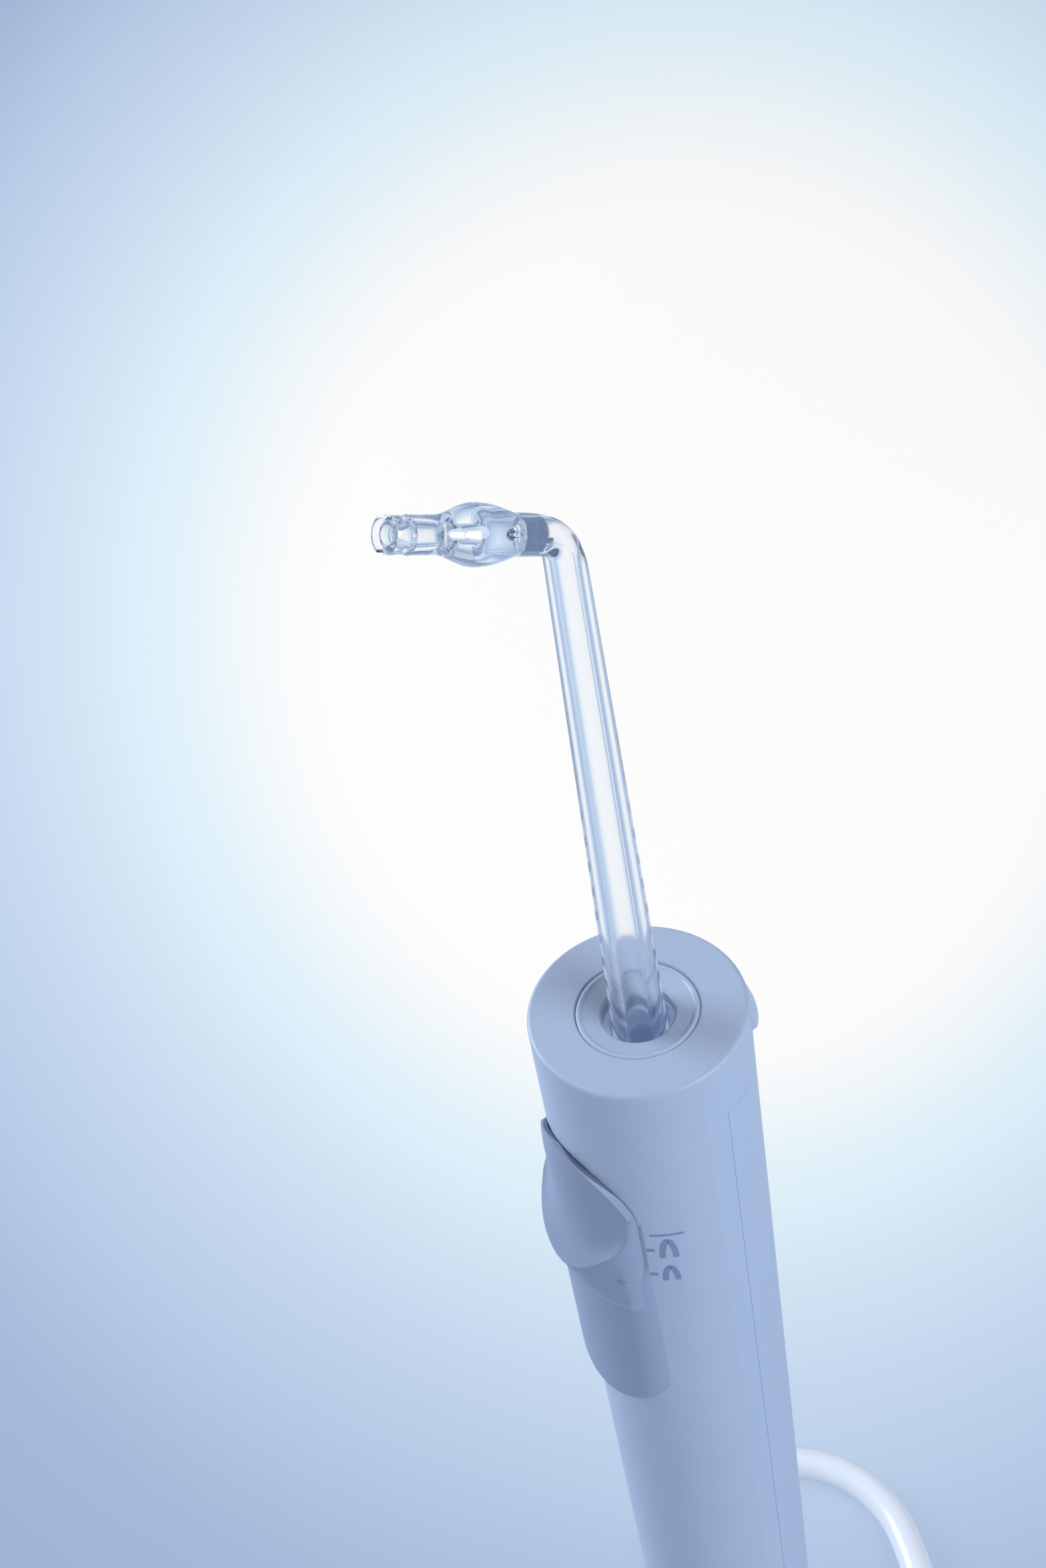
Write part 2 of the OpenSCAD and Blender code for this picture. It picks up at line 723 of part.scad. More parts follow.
module release_button() {
    wedge_tip = clip_back + clear + wedge_gap;
    wedge_half = clip_leg_x - clip_wire_d / 2 - wedge_gap;
    wedge_root = wedge_half + wedge_slope;
    color(switch_colour) {
        difference() {
            intersection() {
                translate([0, 0, up(button_bottom)])
                    cylinder(h = button_h, r1 = out_r(button_bottom, button_rise),
                        r2 = out_r(button_top, button_top_rise));
                block(button_w, arm_front, far, button_top, button_bottom);
            }
            post(button_top - cut, button_bottom + cut, button_inner_r);
        }
        block(arm_w, arm_front, arm_back, arm_top, arm_bottom);
        block(arm_w - 2 * cut, arm_front + cut, out_r(button_bottom, 0), arm_top + cut, button_bottom - cut);
        block(ear_w, arm_front, ear_back, ear_depth - ear_h / 2, ear_depth + ear_h / 2);
        translate([0, 0, up(clip_depth) - clip_wire_d / 2]) linear_extrude(clip_wire_d)
            polygon([[-wedge_half, wedge_tip], [wedge_half, wedge_tip], [wedge_root, arm_front + cut],
                [-wedge_root, arm_front + cut]]);
    }
}

module release_springs() {
    end_gap = spring_wire_r + seat_gap;
    wire = spring_line(spring_floor + end_gap, arm_front - end_gap);
    color(steel_colour) for (side = [-1, 1]) {
        translate([side * ear_x, 0, up(ear_depth)]) swept_tube(wire, spring_wire_r, spring_sides, [0, 1, 0]);
    }
}

module switch_plate() {
    color(switch_colour) difference() {
        intersection() {
            front_prism(plate_outline(0));
            handle_band(plate_top - cut, plate_depth + cut, plate_rise, -plate_inset);
        }
        block(neck_w + 2 * clear, -far, 0, neck_top - slide_travel - clear, neck_bottom + clear);
    }
}

module thumb_slide() {
    step_depth = plate_top - clear;
    profile = [at(crest_depth - cut, slide_lift), at(crest_depth - cut, crest_rise),
        at(grip_top, grip_rise), at(grip_bottom, grip_rise), at(heel_depth + cut, heel_rise),
        at(heel_depth + cut, plate_rise + slide_lift), at(step_depth, plate_rise + slide_lift),
        at(step_depth, slide_lift)];
    color(switch_colour) difference() {
        intersection() {
            front_prism(slide_outline());
            rotate_extrude() polygon(profile);
        }
        translate([0, -out_r(dish_depth, dish_floor) - dish_r, up(dish_depth)]) sphere(r = dish_r);
        block(neck_w + 2 * bond, neck_front, 0, neck_top - bond, neck_bottom + bond);
    }
}

module slide_carrier() {
    peg_front = spool_y - peg_groove_r - wedge_gap;
    color(inner_colour) difference() {
        union() {
            block(carrier_w, -carrier_front, -carrier_back, carrier_top, carrier_bottom);
            block(neck_w, neck_front + bond, -carrier_back, neck_top, neck_bottom);
            translate([0, -carrier_back - cut, up(peg_depth)]) rotate([-90, 0, 0])
                cylinder(h = carrier_back + cut + peg_front, r = peg_r);
        }
        for (depth = [detent_depth, detent_depth + slide_travel]) {
            translate([-far / 2, bump_y, up(depth)]) rotate([0, 90, 0]) cylinder(h = far, r = notch_r);
        }
    }
}

module detent_leaf() {
    color(steel_colour) {
        block(leaf_w, -front_flat - leaf_t, -front_flat, leaf_top, detent_depth + 2 * bump_r);
        translate([-leaf_w / 2, bump_y, up(detent_depth)]) rotate([0, 90, 0])
            cylinder(h = leaf_w, r = bump_r);
    }
}

module valve_body() {
    slot_w = 2 * (peg_r + clear);
    cross_depths = [bore_top + cross_r + cross_lap, valve_bottom - barb_h + cross_r + cross_lap];
    color(inner_colour) difference() {
        union() {
            post(valve_top, valve_bottom, block_r);
            handle_cone(valve_top, valve_top + flange_h, -wall - seat_gap);
            handle_cone(valve_bottom - flange_h, valve_bottom, -wall - seat_gap);
        }
        translate([0, spool_y, 0]) {
            post(bore_top, valve_bottom + cut, bore_r);
            post(bore_bottom, valve_bottom + cut, plug_r + bond);
        }
        post(valve_top - cut, cross_depths[0] + cross_r + cross_lap, port_r);
        post(valve_top - cut, valve_top + outlet_seat, tube_r + bond);
        post(valve_bottom - barb_h, valve_bottom + cut, port_r);
        post(valve_bottom - inlet_seat, valve_bottom + cut, tube_r + bond);
        for (depth = cross_depths) {
            translate([0, spool_y, up(depth)]) rotate([-90, 0, 0]) cylinder(h = -spool_y, r = cross_r);
        }
        block(slot_w, -far, spool_y, peg_depth - slide_travel - peg_r - clear, peg_depth + peg_r + clear);
        block(far, -far, -front_flat, valve_top - cut, valve_bottom + cut);
        for (side = [-1, 1]) {
            translate([side * screw_x, screw_y, 0]) {
                post(valve_top - cut, valve_top + flange_h + cut, screw_r + seat_gap);
                post(valve_top + flange_h, valve_bottom + cut, screw_head_r + seat_gap);
            }
        }
    }
}

module valve_spool() {
    color(grey_colour) translate([0, spool_y, 0]) difference() {
        post(spool_top, spool_bottom, spool_d / 2);
        ring(peg_depth - peg_groove_h / 2, peg_depth + peg_groove_h / 2, spool_d, peg_groove_r);
        ring(waist_top, waist_bottom, spool_d, peg_groove_r);
        for (depth = spool_seal_depths) {
            ring(depth - spool_seal_r - run_gap, depth + spool_seal_r + run_gap, spool_d,
                spool_seal_ring_r - spool_seal_r - bond);
        }
    }
}

module spool_seals() {
    color(rubber_colour) for (depth = spool_seal_depths) {
        translate([0, spool_y, up(depth)])
            rotate_extrude() translate([spool_seal_ring_r, 0]) circle(r = spool_seal_r);
    }
}

module valve_plug() {
    color(grey_colour) translate([0, spool_y, 0]) post(bore_bottom + bond, valve_bottom, plug_r);
}

module valve_screws() {
    head_top = valve_top + flange_h + bond;
    color(steel_colour) for (side = [-1, 1]) {
        translate([side * screw_x, screw_y, 0]) difference() {
            union() {
                post(block_bottom - flange_h + screw_tip_gap, head_top + cut, screw_r);
                post(head_top, head_top + screw_head_h, screw_head_r);
            }
            block(2 * screw_head_r, -screw_slot_w / 2, screw_slot_w / 2,
                head_top + screw_head_h - screw_slot_h, head_top + screw_head_h + cut);
        }
    }
}

module outlet_tube() {
    color(inner_colour) ring(foot_bottom + tube_seat + bond, valve_top + outlet_seat - bond, tube_r, port_r);
}

module inlet_barb() {
    color(grey_colour) difference() {
        union() {
            post(valve_bottom - inlet_seat + bond, valve_bottom + barb_h, tube_r);
            post(valve_bottom + run_gap, valve_bottom + barb_flange_h, barb_flange_r);
        }
        post(valve_bottom - inlet_seat, valve_bottom + barb_h + cut, port_r);
    }
}

module supply_tube() {
    upper = valve_bottom + barb_flange_h + bond;
    color(hose_colour) ring(upper, handle_h + relief_h, hose_r - run_gap, tube_r + run_gap);
}

// A groove for an O-ring round a post along local Z
module seal_groove(height, outer, wire_r) {
    translate([0, 0, height]) difference() {
        cylinder(h = 2 * wire_r + seal_groove_play, r = far, center = true);
        cylinder(h = 3 * wire_r, r = outer - 2 * wire_r, center = true);
    }
}

module tail_cap() {
    color(shell_colour) difference() {
        union() {
            cylinder(h = seat_h, r = seat_d / 2);
            translate([0, 0, seat_h - cut]) cylinder(h = spigot_h + cut, r = spigot_out);
        }
        translate([0, 0, cap_floor]) cylinder(h = far, r = cap_cavity_r);
        translate([0, 0, -cut]) cylinder(h = far, r = relief_top_d / 2 + run_gap);
        seal_groove(tail_seal_z, spigot_out, tail_seal_r);
    }
}

module tail_seal() {
    color(rubber_colour) translate([0, 0, tail_seal_z])
        rotate_extrude() translate([spigot_out - tail_seal_r + bond, 0]) circle(r = tail_seal_r);
}

module strain_relief() {
    color(grey_colour) difference() {
        union() {
            translate([0, 0, cap_floor + bond]) cylinder(h = relief_flange_h, r = relief_flange_r);
            translate([0, 0, -cut]) cylinder(h = cap_floor + 2 * cut, r = relief_top_d / 2);
            translate([0, 0, -relief_h])
                cylinder(h = relief_h, r1 = relief_end_d / 2, r2 = relief_top_d / 2);
        }
        translate([0, 0, -relief_h - cut]) cylinder(h = far, r = hose_r);
        for (step = [2:6]) {
            translate([0, 0, -relief_h + relief_step * step]) difference() {
                cylinder(h = relief_groove_h, r = far, center = true);
                cylinder(h = relief_step, r = relief_core_r, center = true);
            }
        }
    }
}

module hose_run() {
    color(hose_colour) swept_tube(run_line, hose_r, hose_sides, [0, 1, 0]);
}

module hose_coil() {
    echo(coil_gap = least_gap(coil_line, hose_d, 8));
    echo(hose_length = line_length(run_line) + line_length(coil_line) + line_length(tail_line));
    color(hose_colour) swept_tube(coil_line, hose_r, coil_sides, [0, 0, 1]);
}

module hose_tail() {
    color(hose_colour) swept_tube(tail_line, hose_r, hose_sides, [0, 0, 1]);
}

module hose_tie() {
    inner_r = coil_r - coil_step * coil_turns / 2 - hose_r - tie_gap;
    outer_r = coil_r + hose_r + tie_gap;
    low = coil_z - hose_r - tie_gap;
    tall = coil_layer + hose_d + 2 * tie_gap;
    color(switch_colour) translate([coil_middle[0], coil_middle[1], 0]) rotate([0, 0, tie_turn])
        difference() {
            translate([inner_r - tie_wall, -tie_w / 2, low - tie_wall])
                cube([outer_r - inner_r + 2 * tie_wall, tie_w, tall + 2 * tie_wall]);
            translate([inner_r, -tie_w, low]) cube([outer_r - inner_r, 2 * tie_w, tall]);
        }
}

// Placement of the connector, with the way that it plugs in as local Z
module at_connector() {
    tip = tail_route[len(tail_route) - 1];
    translate(tip) rotate([0, 90, atan2(exit_heading[1], exit_heading[0])]) children();
}

module pump_connector() {
    color(grey_colour) at_connector() difference() {
        union() {
            cylinder(h = plug_body_h, r = plug_body_r);
            cylinder(h = plug_body_h + plug_pin_h, r = plug_pin_r);
        }
        translate([0, 0, -cut]) cylinder(h = far, r = port_r);
        seal_groove(connector_seal_z, plug_pin_r, connector_seal_r);
        for (flute = [1:plug_flutes]) {
            rotate([0, 0, 360 * flute / plug_flutes]) translate([plug_body_r + flute_sink, 0, flute_margin])
                cylinder(h = plug_body_h - 2 * flute_margin, r = flute_r);
        }
    }
}

module connector_seal() {
    color(rubber_colour) at_connector() translate([0, 0, connector_seal_z])
        rotate_extrude() translate([plug_pin_r - connector_seal_r + bond, 0]) circle(r = connector_seal_r);
}

nozzle_stem();
bulb_shell();
outlet_cap();
mixing_jet();
filter_sleeve();
nozzle_foot();
nozzle_seal();
body_shell();
rear_cover();
collar_ring();
turn_sleeve();
socket_block();
nozzle_clip();
release_button();
release_springs();
switch_plate();
thumb_slide();
slide_carrier();
detent_leaf();
valve_body();
valve_spool();
spool_seals();
valve_plug();
valve_screws();
outlet_tube();
inlet_barb();
supply_tube();
tail_cap();
tail_seal();
strain_relief();
hose_run();
hose_coil();
hose_tail();
hose_tie();
pump_connector();
connector_seal();
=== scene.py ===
import json
import math

import bmesh
import bpy
import numpy as np
from mathutils import Matrix, Vector


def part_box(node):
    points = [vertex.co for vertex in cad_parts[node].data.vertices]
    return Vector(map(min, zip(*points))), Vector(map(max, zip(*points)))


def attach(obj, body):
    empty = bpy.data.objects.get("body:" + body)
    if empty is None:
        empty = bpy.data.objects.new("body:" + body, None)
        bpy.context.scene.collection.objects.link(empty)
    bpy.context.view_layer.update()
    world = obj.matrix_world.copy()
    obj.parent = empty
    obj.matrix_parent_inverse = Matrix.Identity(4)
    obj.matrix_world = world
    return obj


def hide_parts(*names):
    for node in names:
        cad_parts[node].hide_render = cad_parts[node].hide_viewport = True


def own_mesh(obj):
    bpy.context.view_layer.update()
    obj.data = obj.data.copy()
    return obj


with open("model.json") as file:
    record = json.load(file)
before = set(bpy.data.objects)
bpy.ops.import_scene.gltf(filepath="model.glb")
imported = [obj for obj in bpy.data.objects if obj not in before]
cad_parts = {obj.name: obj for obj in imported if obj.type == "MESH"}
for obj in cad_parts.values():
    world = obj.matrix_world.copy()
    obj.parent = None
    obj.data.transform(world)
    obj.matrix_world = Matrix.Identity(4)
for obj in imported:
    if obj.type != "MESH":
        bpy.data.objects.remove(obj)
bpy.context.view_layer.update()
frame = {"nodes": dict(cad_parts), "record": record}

nodes = frame["nodes"]
mm = 0.001
scene = bpy.context.scene
scene.view_settings.view_transform = "Standard"
scene.cycles.max_bounces = 32  # clear plastic needs many
scene.cycles.glossy_bounces = 24
scene.cycles.transmission_bounces = 32

bodyLow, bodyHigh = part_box("body_shell")
topZ = bodyHigh.z  # flat top face
topR = (bodyHigh.x - bodyLow.x) / 2
endZ = bodyLow.z  # shoulder above the tail seat
endR = 13.2 * mm
bendHeight = 77.0  # where the nozzle turns, in mm above the top face
bendZ = topZ + bendHeight * mm
tipAngle = math.radians(61)
tipPlace = Matrix.Translation((0, 0, bendZ)) @ Matrix.Rotation(tipAngle, 4, "X")


def srgb(red, green, blue):
    def linear(level):
        share = level / 255
        return share / 12.92 if share <= 0.04045 else ((share + 0.055) / 1.055) ** 2.4
    return (linear(red), linear(green), linear(blue), 1.0)


def between(low, high, share):
    return low + (high - low) * share


def handleRadius(depth):
    return between(topR, endR, depth * mm / (topZ - endZ))


# A point over the handle's front: mm across, below the top face and out of the surface
def onHandle(x, depth, rise):
    radius = handleRadius(depth) + rise * mm
    return Vector((x * mm, -math.sqrt(radius ** 2 - (x * mm) ** 2), topZ - depth * mm))


def roundHandle(angle, depth, rise):  # the same by an angle from the front towards the right
    radius = handleRadius(depth) + rise * mm
    turn = math.radians(angle)
    return Vector((radius * math.sin(turn), -radius * math.cos(turn), topZ - depth * mm))


def addObject(name, data):
    made = bpy.data.objects.new(name, data)
    scene.collection.objects.link(made)
    return made


# Camera, from the photograph's viewing angle
photoCamera = {
    "azimuth": 63.0,
    "elevation": 50.0,
    "distance": 317.8 * mm,
    "roll": 9.0,
    "pitch": -5.41,
    "yaw": -1.75,
    "focalPixels": 3800,
    "longSidePixels": 2351,
    "sensor": 36.0,
    "clip": (0.01, 20.0),
}


def wayOut(around, above):  # from the handle, by degrees around from the front and above the floor
    around, above = math.radians(around), math.radians(above)
    return Vector((math.sin(around) * math.cos(above), -math.cos(around) * math.cos(above), math.sin(above)))


def makeCamera(c):
    back = wayOut(c["azimuth"], c["elevation"])
    right = Vector((0, 0, 1)).cross(back).normalized()
    up = back.cross(right)
    turn = Matrix((right, up, back)).transposed()
    turn = turn @ Matrix.Rotation(-math.radians(c["yaw"]), 3, "Y")
    turn = turn @ Matrix.Rotation(-math.radians(c["pitch"]), 3, "X")
    turn = turn @ Matrix.Rotation(-math.radians(c["roll"]), 3, "Z")
    data = bpy.data.cameras.new("camera")
    data.sensor_width = c["sensor"]
    data.lens = c["focalPixels"] * c["sensor"] / c["longSidePixels"]
    data.clip_start, data.clip_end = c["clip"]
    camera = addObject("camera", data)
    camera.matrix_world = Matrix.Translation(Vector((0, 0, topZ)) + back * c["distance"]) @ turn.to_4x4()
    scene.camera = camera


makeCamera(photoCamera)
print("camera placed")


# Supply hose: one smooth line from the strain relief through the coil to the pump connector
hose = {
    "diameter": 6.0 * mm,
    "run": [(0, 0, -22), (-0.4, 0, -31.7), (-3.8, 0.3, -40.9), (-10, 0.9, -48), (-18.1, 1.6, -52.5),
            (-26.9, 2.4, -54), (-36.8, 5.5, -54), (-44.4, 12.7, -54), (-48.1, 22.4, -54),
            (-47.3, 32.7, -54), (-42.1, 41.7, -54), (-33.5, 47.6, -54), (-23.2, 49.2, -54),
            (-13, 46.6, -54), (-3, 42.4, -54), (7, 39.3, -54), (17, 38.1, -54), (27, 38, -53.6),
            (37, 38, -53), (46, 38, -52.8)],
    "tail": [(46, -42, -46.2), (40, -42, -46.2), (33, -42, -47), (25, -42, -49.2), (17, -42, -51.4),
             (12, -42, -52), (8, -42, -52), (4, -42, -52)],
    "coilMiddle": (52, -2),
    "coilRadius": 40,
    "coilStep": 6.6,
    "coilTurns": 3.5,
    "coilFloor": -52.8,
    "coilLayer": 6.6,
    "climbTurns": 0.5,
    "entryTurn": 90,
    "pointsPerTurn": 48,
    "stepsPerLeg": 6,
    "roundSteps": 7,
}


def smoothLine(points, steps):
    spots = [Vector(p) for p in points]
    line = []
    for leg in range(len(spots) - 1):
        before, here = spots[max(0, leg - 1)], spots[leg]
        after, last = spots[leg + 1], spots[min(len(spots) - 1, leg + 2)]
        for step in range(steps):
            part = step / steps
            line.append(0.5 * (2 * here + (after - before) * part
                               + (2 * before - 5 * here + 4 * after - last) * part ** 2
                               + (3 * here - before - 3 * after + last) * part ** 3))
    return line + [spots[-1]]


def coilSpot(h, turn):
    radius = h["coilRadius"] - h["coilStep"] * min(turn, h["coilTurns"] - turn)
    climb = (turn - h["coilTurns"] / 2) / h["climbTurns"] + 0.5  # a layer up where the spiral reverses
    bearing = math.radians(h["entryTurn"] - 360 * turn)
    return Vector((h["coilMiddle"][0] + radius * math.cos(bearing),
                   h["coilMiddle"][1] + radius * math.sin(bearing),
                   h["coilFloor"] + h["coilLayer"] * min(1, max(0, climb))))


def makeHose(h):
    count = round(h["coilTurns"] * h["pointsPerTurn"])
    coil = [coilSpot(h, spot / h["pointsPerTurn"]) for spot in range(count + 1)]
    run, tail = (smoothLine(h[leg], h["stepsPerLeg"]) for leg in ("run", "tail"))
    line = [spot * mm for spot in run + coil + tail]
    data = bpy.data.curves.new("supplyHose", "CURVE")
    data.dimensions = "3D"
    data.bevel_depth = 1.0  # each point's radius sets the size
    data.bevel_resolution = h["roundSteps"]
    data.use_fill_caps = True
    spline = data.splines.new("POLY")
    spline.points.add(len(line) - 1)
    for point, spot in zip(spline.points, line):
        point.co = (*spot, 1)
        point.radius = h["diameter"] / 2
    spline.use_smooth = True
    piece = addObject("supplyHose", data)
    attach(piece, "housing")
    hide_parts("hose_run", "hose_coil", "hose_tail")
    return piece


supplyHose = makeHose(hose)


# Node helpers
def newNode(tree, kind):
    return tree.nodes.new("ShaderNode" + kind)


def feedSockets(tree, node, feeds):  # links an output, and sets a plain value on the socket
    for socket, feed in zip(node.inputs, feeds):
        if isinstance(feed, bpy.types.NodeSocket):
            tree.links.new(feed, socket)
        else:
            socket.default_value = feed
    return node


def addMath(tree, operation, *feeds):
    node = newNode(tree, "Math")
    node.operation = operation
    return feedSockets(tree, node, feeds).outputs[0]


def addVector(tree, operation, *feeds):
    node = newNode(tree, "VectorMath")
    node.operation = operation
    return feedSockets(tree, node, feeds)


def addMix(tree, share, first, second):
    return feedSockets(tree, newNode(tree, "MixShader"), (share, first.outputs[0], second.outputs[0]))


def seenRay(tree):  # rays that show the stage: straight, mirrored or through clear plastic
    path = newNode(tree, "LightPath")
    seen = addMath(tree, "MAXIMUM", path.outputs["Is Camera Ray"], path.outputs["Is Glossy Ray"])
    return addMath(tree, "MAXIMUM", seen, path.outputs["Is Transmission Ray"])


# Floor with a round glow behind the nozzle, pale surroundings and two soft lamps
stage = {
    "floorZ": -57.0 * mm,
    "floorSize": 8.0,
    "glowMiddle": (-216.5, 140.1, 0),
    "glowLong": (-0.8548, 0.519, 0),
    "glowLongReach": 97.1,
    "glowAcross": (0.519, 0.8548, 0),
    "glowAcrossReach": 65.1,
    "glowLean": 0.49,
    "glowReach": 8.0,
    "glowStops": [(0.165, (251, 251, 251)), (0.19, (247, 248, 249)), (0.2125, (238, 245, 248)),
                  (0.239, (226, 240, 247)), (0.2635, (218, 236, 247)), (0.305, (207, 224, 240)),
                  (0.35, (195, 213, 236)), (0.395, (184, 204, 230)), (0.4265, (176, 196, 225)),
                  (0.4715, (164, 184, 215)), (0.55, (156, 176, 209)), (0.66, (176, 199, 230)),
                  (0.84, (200, 217, 240))],
    "floorLit": 0.2,
    "floorBounce": (214, 226, 241),
    "skyLow": (120, 141, 178),
    "skyHigh": (214, 226, 241),
    "skyLight": 0.38,
}


def makeFloor(s):
    mesh = bpy.data.meshes.new("floor")
    half = s["floorSize"] / 2
    corners = [(x * half, y * half, s["floorZ"]) for x, y in ((-1, -1), (1, -1), (1, 1), (-1, 1))]
    mesh.from_pydata(corners, [], [(0, 1, 2, 3)])
    floor = addObject("floor", mesh)
    material = bpy.data.materials.new("paleFloor")
    material.use_nodes = True
    tree = material.node_tree
    tree.nodes.clear()
    place = newNode(tree, "NewGeometry").outputs["Position"]
    shift = addVector(tree, "SUBTRACT", place, [v * mm for v in s["glowMiddle"]]).outputs[0]
    parts = []
    for axis in ("glowLong", "glowAcross"):
        perReach = [v / (s[axis + "Reach"] * mm) for v in s[axis]]
        parts.append(addVector(tree, "DOT_PRODUCT", shift, perReach).outputs["Value"])
    pair = feedSockets(tree, newNode(tree, "CombineXYZ"), parts)
    away = addVector(tree, "LENGTH", pair.outputs[0]).outputs["Value"]
    lean = addMath(tree, "MULTIPLY_ADD", parts[0], -s["glowLean"], away)
    ramp = newNode(tree, "ValToRGB")
    stops = ramp.color_ramp.elements
    while len(stops) < len(s["glowStops"]):
        stops.new(0.5)
    for stop, (where, color) in zip(stops, s["glowStops"]):
        stop.position = where
        stop.color = srgb(*color)
    tree.links.new(addMath(tree, "DIVIDE", lean, s["glowReach"]), ramp.inputs["Fac"])
    glow, lit, bounce = newNode(tree, "Emission"), newNode(tree, "BsdfDiffuse"), newNode(tree, "BsdfDiffuse")
    for shader in (glow, lit):
        tree.links.new(ramp.outputs["Color"], shader.inputs["Color"])
    bounce.inputs["Color"].default_value = srgb(*s["floorBounce"])
    whole = addMix(tree, seenRay(tree), bounce, addMix(tree, s["floorLit"], glow, lit))
    tree.links.new(whole.outputs[0], newNode(tree, "OutputMaterial").inputs["Surface"])
    mesh.materials.append(material)


def makeSky(s):
    world = bpy.data.worlds.new("paleSky")
    scene.world = world
    world.use_nodes = True
    tree = world.node_tree
    tree.nodes.clear()
    fill = feedSockets(tree, newNode(tree, "Background"), ((1, 1, 1, 1), s["skyLight"]))
    split = feedSockets(tree, newNode(tree, "SeparateXYZ"), [newNode(tree, "TexCoord").outputs["Generated"]])
    ramp = newNode(tree, "ValToRGB")
    for stop, tone in zip(ramp.color_ramp.elements, ("skyLow", "skyHigh")):
        stop.color = srgb(*s[tone])
    tree.links.new(split.outputs["Z"], ramp.inputs["Fac"])
    pale = feedSockets(tree, newNode(tree, "Background"), [ramp.outputs["Color"]])
    whole = addMix(tree, seenRay(tree), fill, pale)
    tree.links.new(whole.outputs[0], newNode(tree, "OutputWorld").inputs["Surface"])


lamps = {
    "key": {"around": 112, "above": 34, "distance": 0.9, "size": 0.7, "watts": 6.2},
    "rim": {"around": -58, "above": 20, "distance": 0.9, "size": 0.6, "watts": 7.5},
}


def makeLamp(name, lamp):
    away = wayOut(lamp["around"], lamp["above"])
    data = bpy.data.lights.new(name, "AREA")
    data.shape = "DISK"
    data.size = lamp["size"]
    data.energy = lamp["watts"]
    light = addObject(name, data)
    light.visible_camera = False
    light.visible_transmission = False
    light.location = Vector((0, 0, topZ)) + away * lamp["distance"]
    light.rotation_euler = away.to_track_quat("Z", "Y").to_euler()


makeFloor(stage)
makeSky(stage)
for lampName, lamp in lamps.items():
    makeLamp(lampName, lamp)
print("floor, sky and lamps set")


# Shared surface effects
def startGroup(name, inputs, outputs):
    tree = bpy.data.node_groups.new(name, "ShaderNodeTree")
    for socketName, kind, value in inputs:
        socket = tree.interface.new_socket(name=socketName, in_out="INPUT", socket_type="NodeSocket" + kind)
        socket.default_value = value
    for socketName, kind in outputs:
        tree.interface.new_socket(name=socketName, in_out="OUTPUT", socket_type="NodeSocket" + kind)
    return tree, tree.nodes.new("NodeGroupInput"), tree.nodes.new("NodeGroupOutput")


def addNoise(tree, scale, detail=2.0, vector=None):
    noise = newNode(tree, "TexNoise")
    noise.inputs["Detail"].default_value = detail
    tree.links.new(vector or newNode(tree, "TexCoord").outputs["Object"], noise.inputs["Vector"])
    if isinstance(scale, float):
        noise.inputs["Scale"].default_value = scale
    else:
        tree.links.new(scale, noise.inputs["Scale"])
    return noise.outputs["Fac"]


def makeToneDrift():  # slow light and dark drift in a colour
    tree, feed, out = startGroup(
        "toneDrift", [("Color", "Color", (0.5, 0.5, 0.5, 1)), ("Scale", "Float", 60.0),
                      ("Amount", "Float", 0.05)], [("Color", "Color")])
    drift = addMath(tree, "SUBTRACT", addNoise(tree, feed.outputs["Scale"], 3.0), 0.5)
    level = addMath(tree, "MULTIPLY_ADD", drift, feed.outputs["Amount"], 1.0)
    scaled = addVector(tree, "SCALE", feed.outputs["Color"])
    tree.links.new(level, scaled.inputs["Scale"])
    tree.links.new(scaled.outputs[0], out.inputs["Color"])
    return tree


grainMix = {"patchScale": 0.04, "fine": 0.4, "patch": 0.6}


def makeMouldGrain(g):  # fine spark-eroded grain of a mould, in slow patches
    tree, feed, out = startGroup(
        "mouldGrain", [("Scale", "Float", 2500.0), ("Roughness", "Float", 0.4), ("Spread", "Float", 0.1)],
        [("Roughness", "Float"), ("Height", "Float")])
    grain = addNoise(tree, feed.outputs["Scale"])
    patch = addNoise(tree, addMath(tree, "MULTIPLY", feed.outputs["Scale"], g["patchScale"]))
    both = addMath(tree, "ADD", addMath(tree, "MULTIPLY", grain, g["fine"]),
                   addMath(tree, "MULTIPLY", patch, g["patch"]))
    middle = addMath(tree, "SUBTRACT", both, 0.5)
    rough = addMath(tree, "MULTIPLY_ADD", middle, feed.outputs["Spread"], feed.outputs["Roughness"])
    tree.links.new(rough, out.inputs["Roughness"])
    tree.links.new(grain, out.inputs["Height"])
    return tree


scuffLook = {"stretch": (1.0, 1.0, 0.04), "lean": (0.12, 0.05, 0.0), "patch": 45.0,
             "lineCut": 0.63, "patchCut": 0.52}


def makeScuffs(f):  # faint lengthwise scuffs from handling
    tree, feed, out = startGroup(
        "scuffs", [("Scale", "Float", 900.0), ("Amount", "Float", 0.1)], [("Mask", "Float")])
    stretch = newNode(tree, "Mapping")
    stretch.inputs["Scale"].default_value = f["stretch"]
    stretch.inputs["Rotation"].default_value = f["lean"]
    tree.links.new(newNode(tree, "TexCoord").outputs["Object"], stretch.inputs["Vector"])
    lines = addNoise(tree, feed.outputs["Scale"], vector=stretch.outputs["Vector"])
    fine = addMath(tree, "MULTIPLY", addMath(tree, "GREATER_THAN", lines, f["lineCut"]),
                   addMath(tree, "GREATER_THAN", addNoise(tree, f["patch"]), f["patchCut"]))
    tree.links.new(addMath(tree, "MULTIPLY", fine, feed.outputs["Amount"]), out.inputs["Mask"])
    return tree


ringLook = {"wanderScale": 1800.0, "maskScale": 900.0, "detail": 3.0, "fullWave": 6.28}


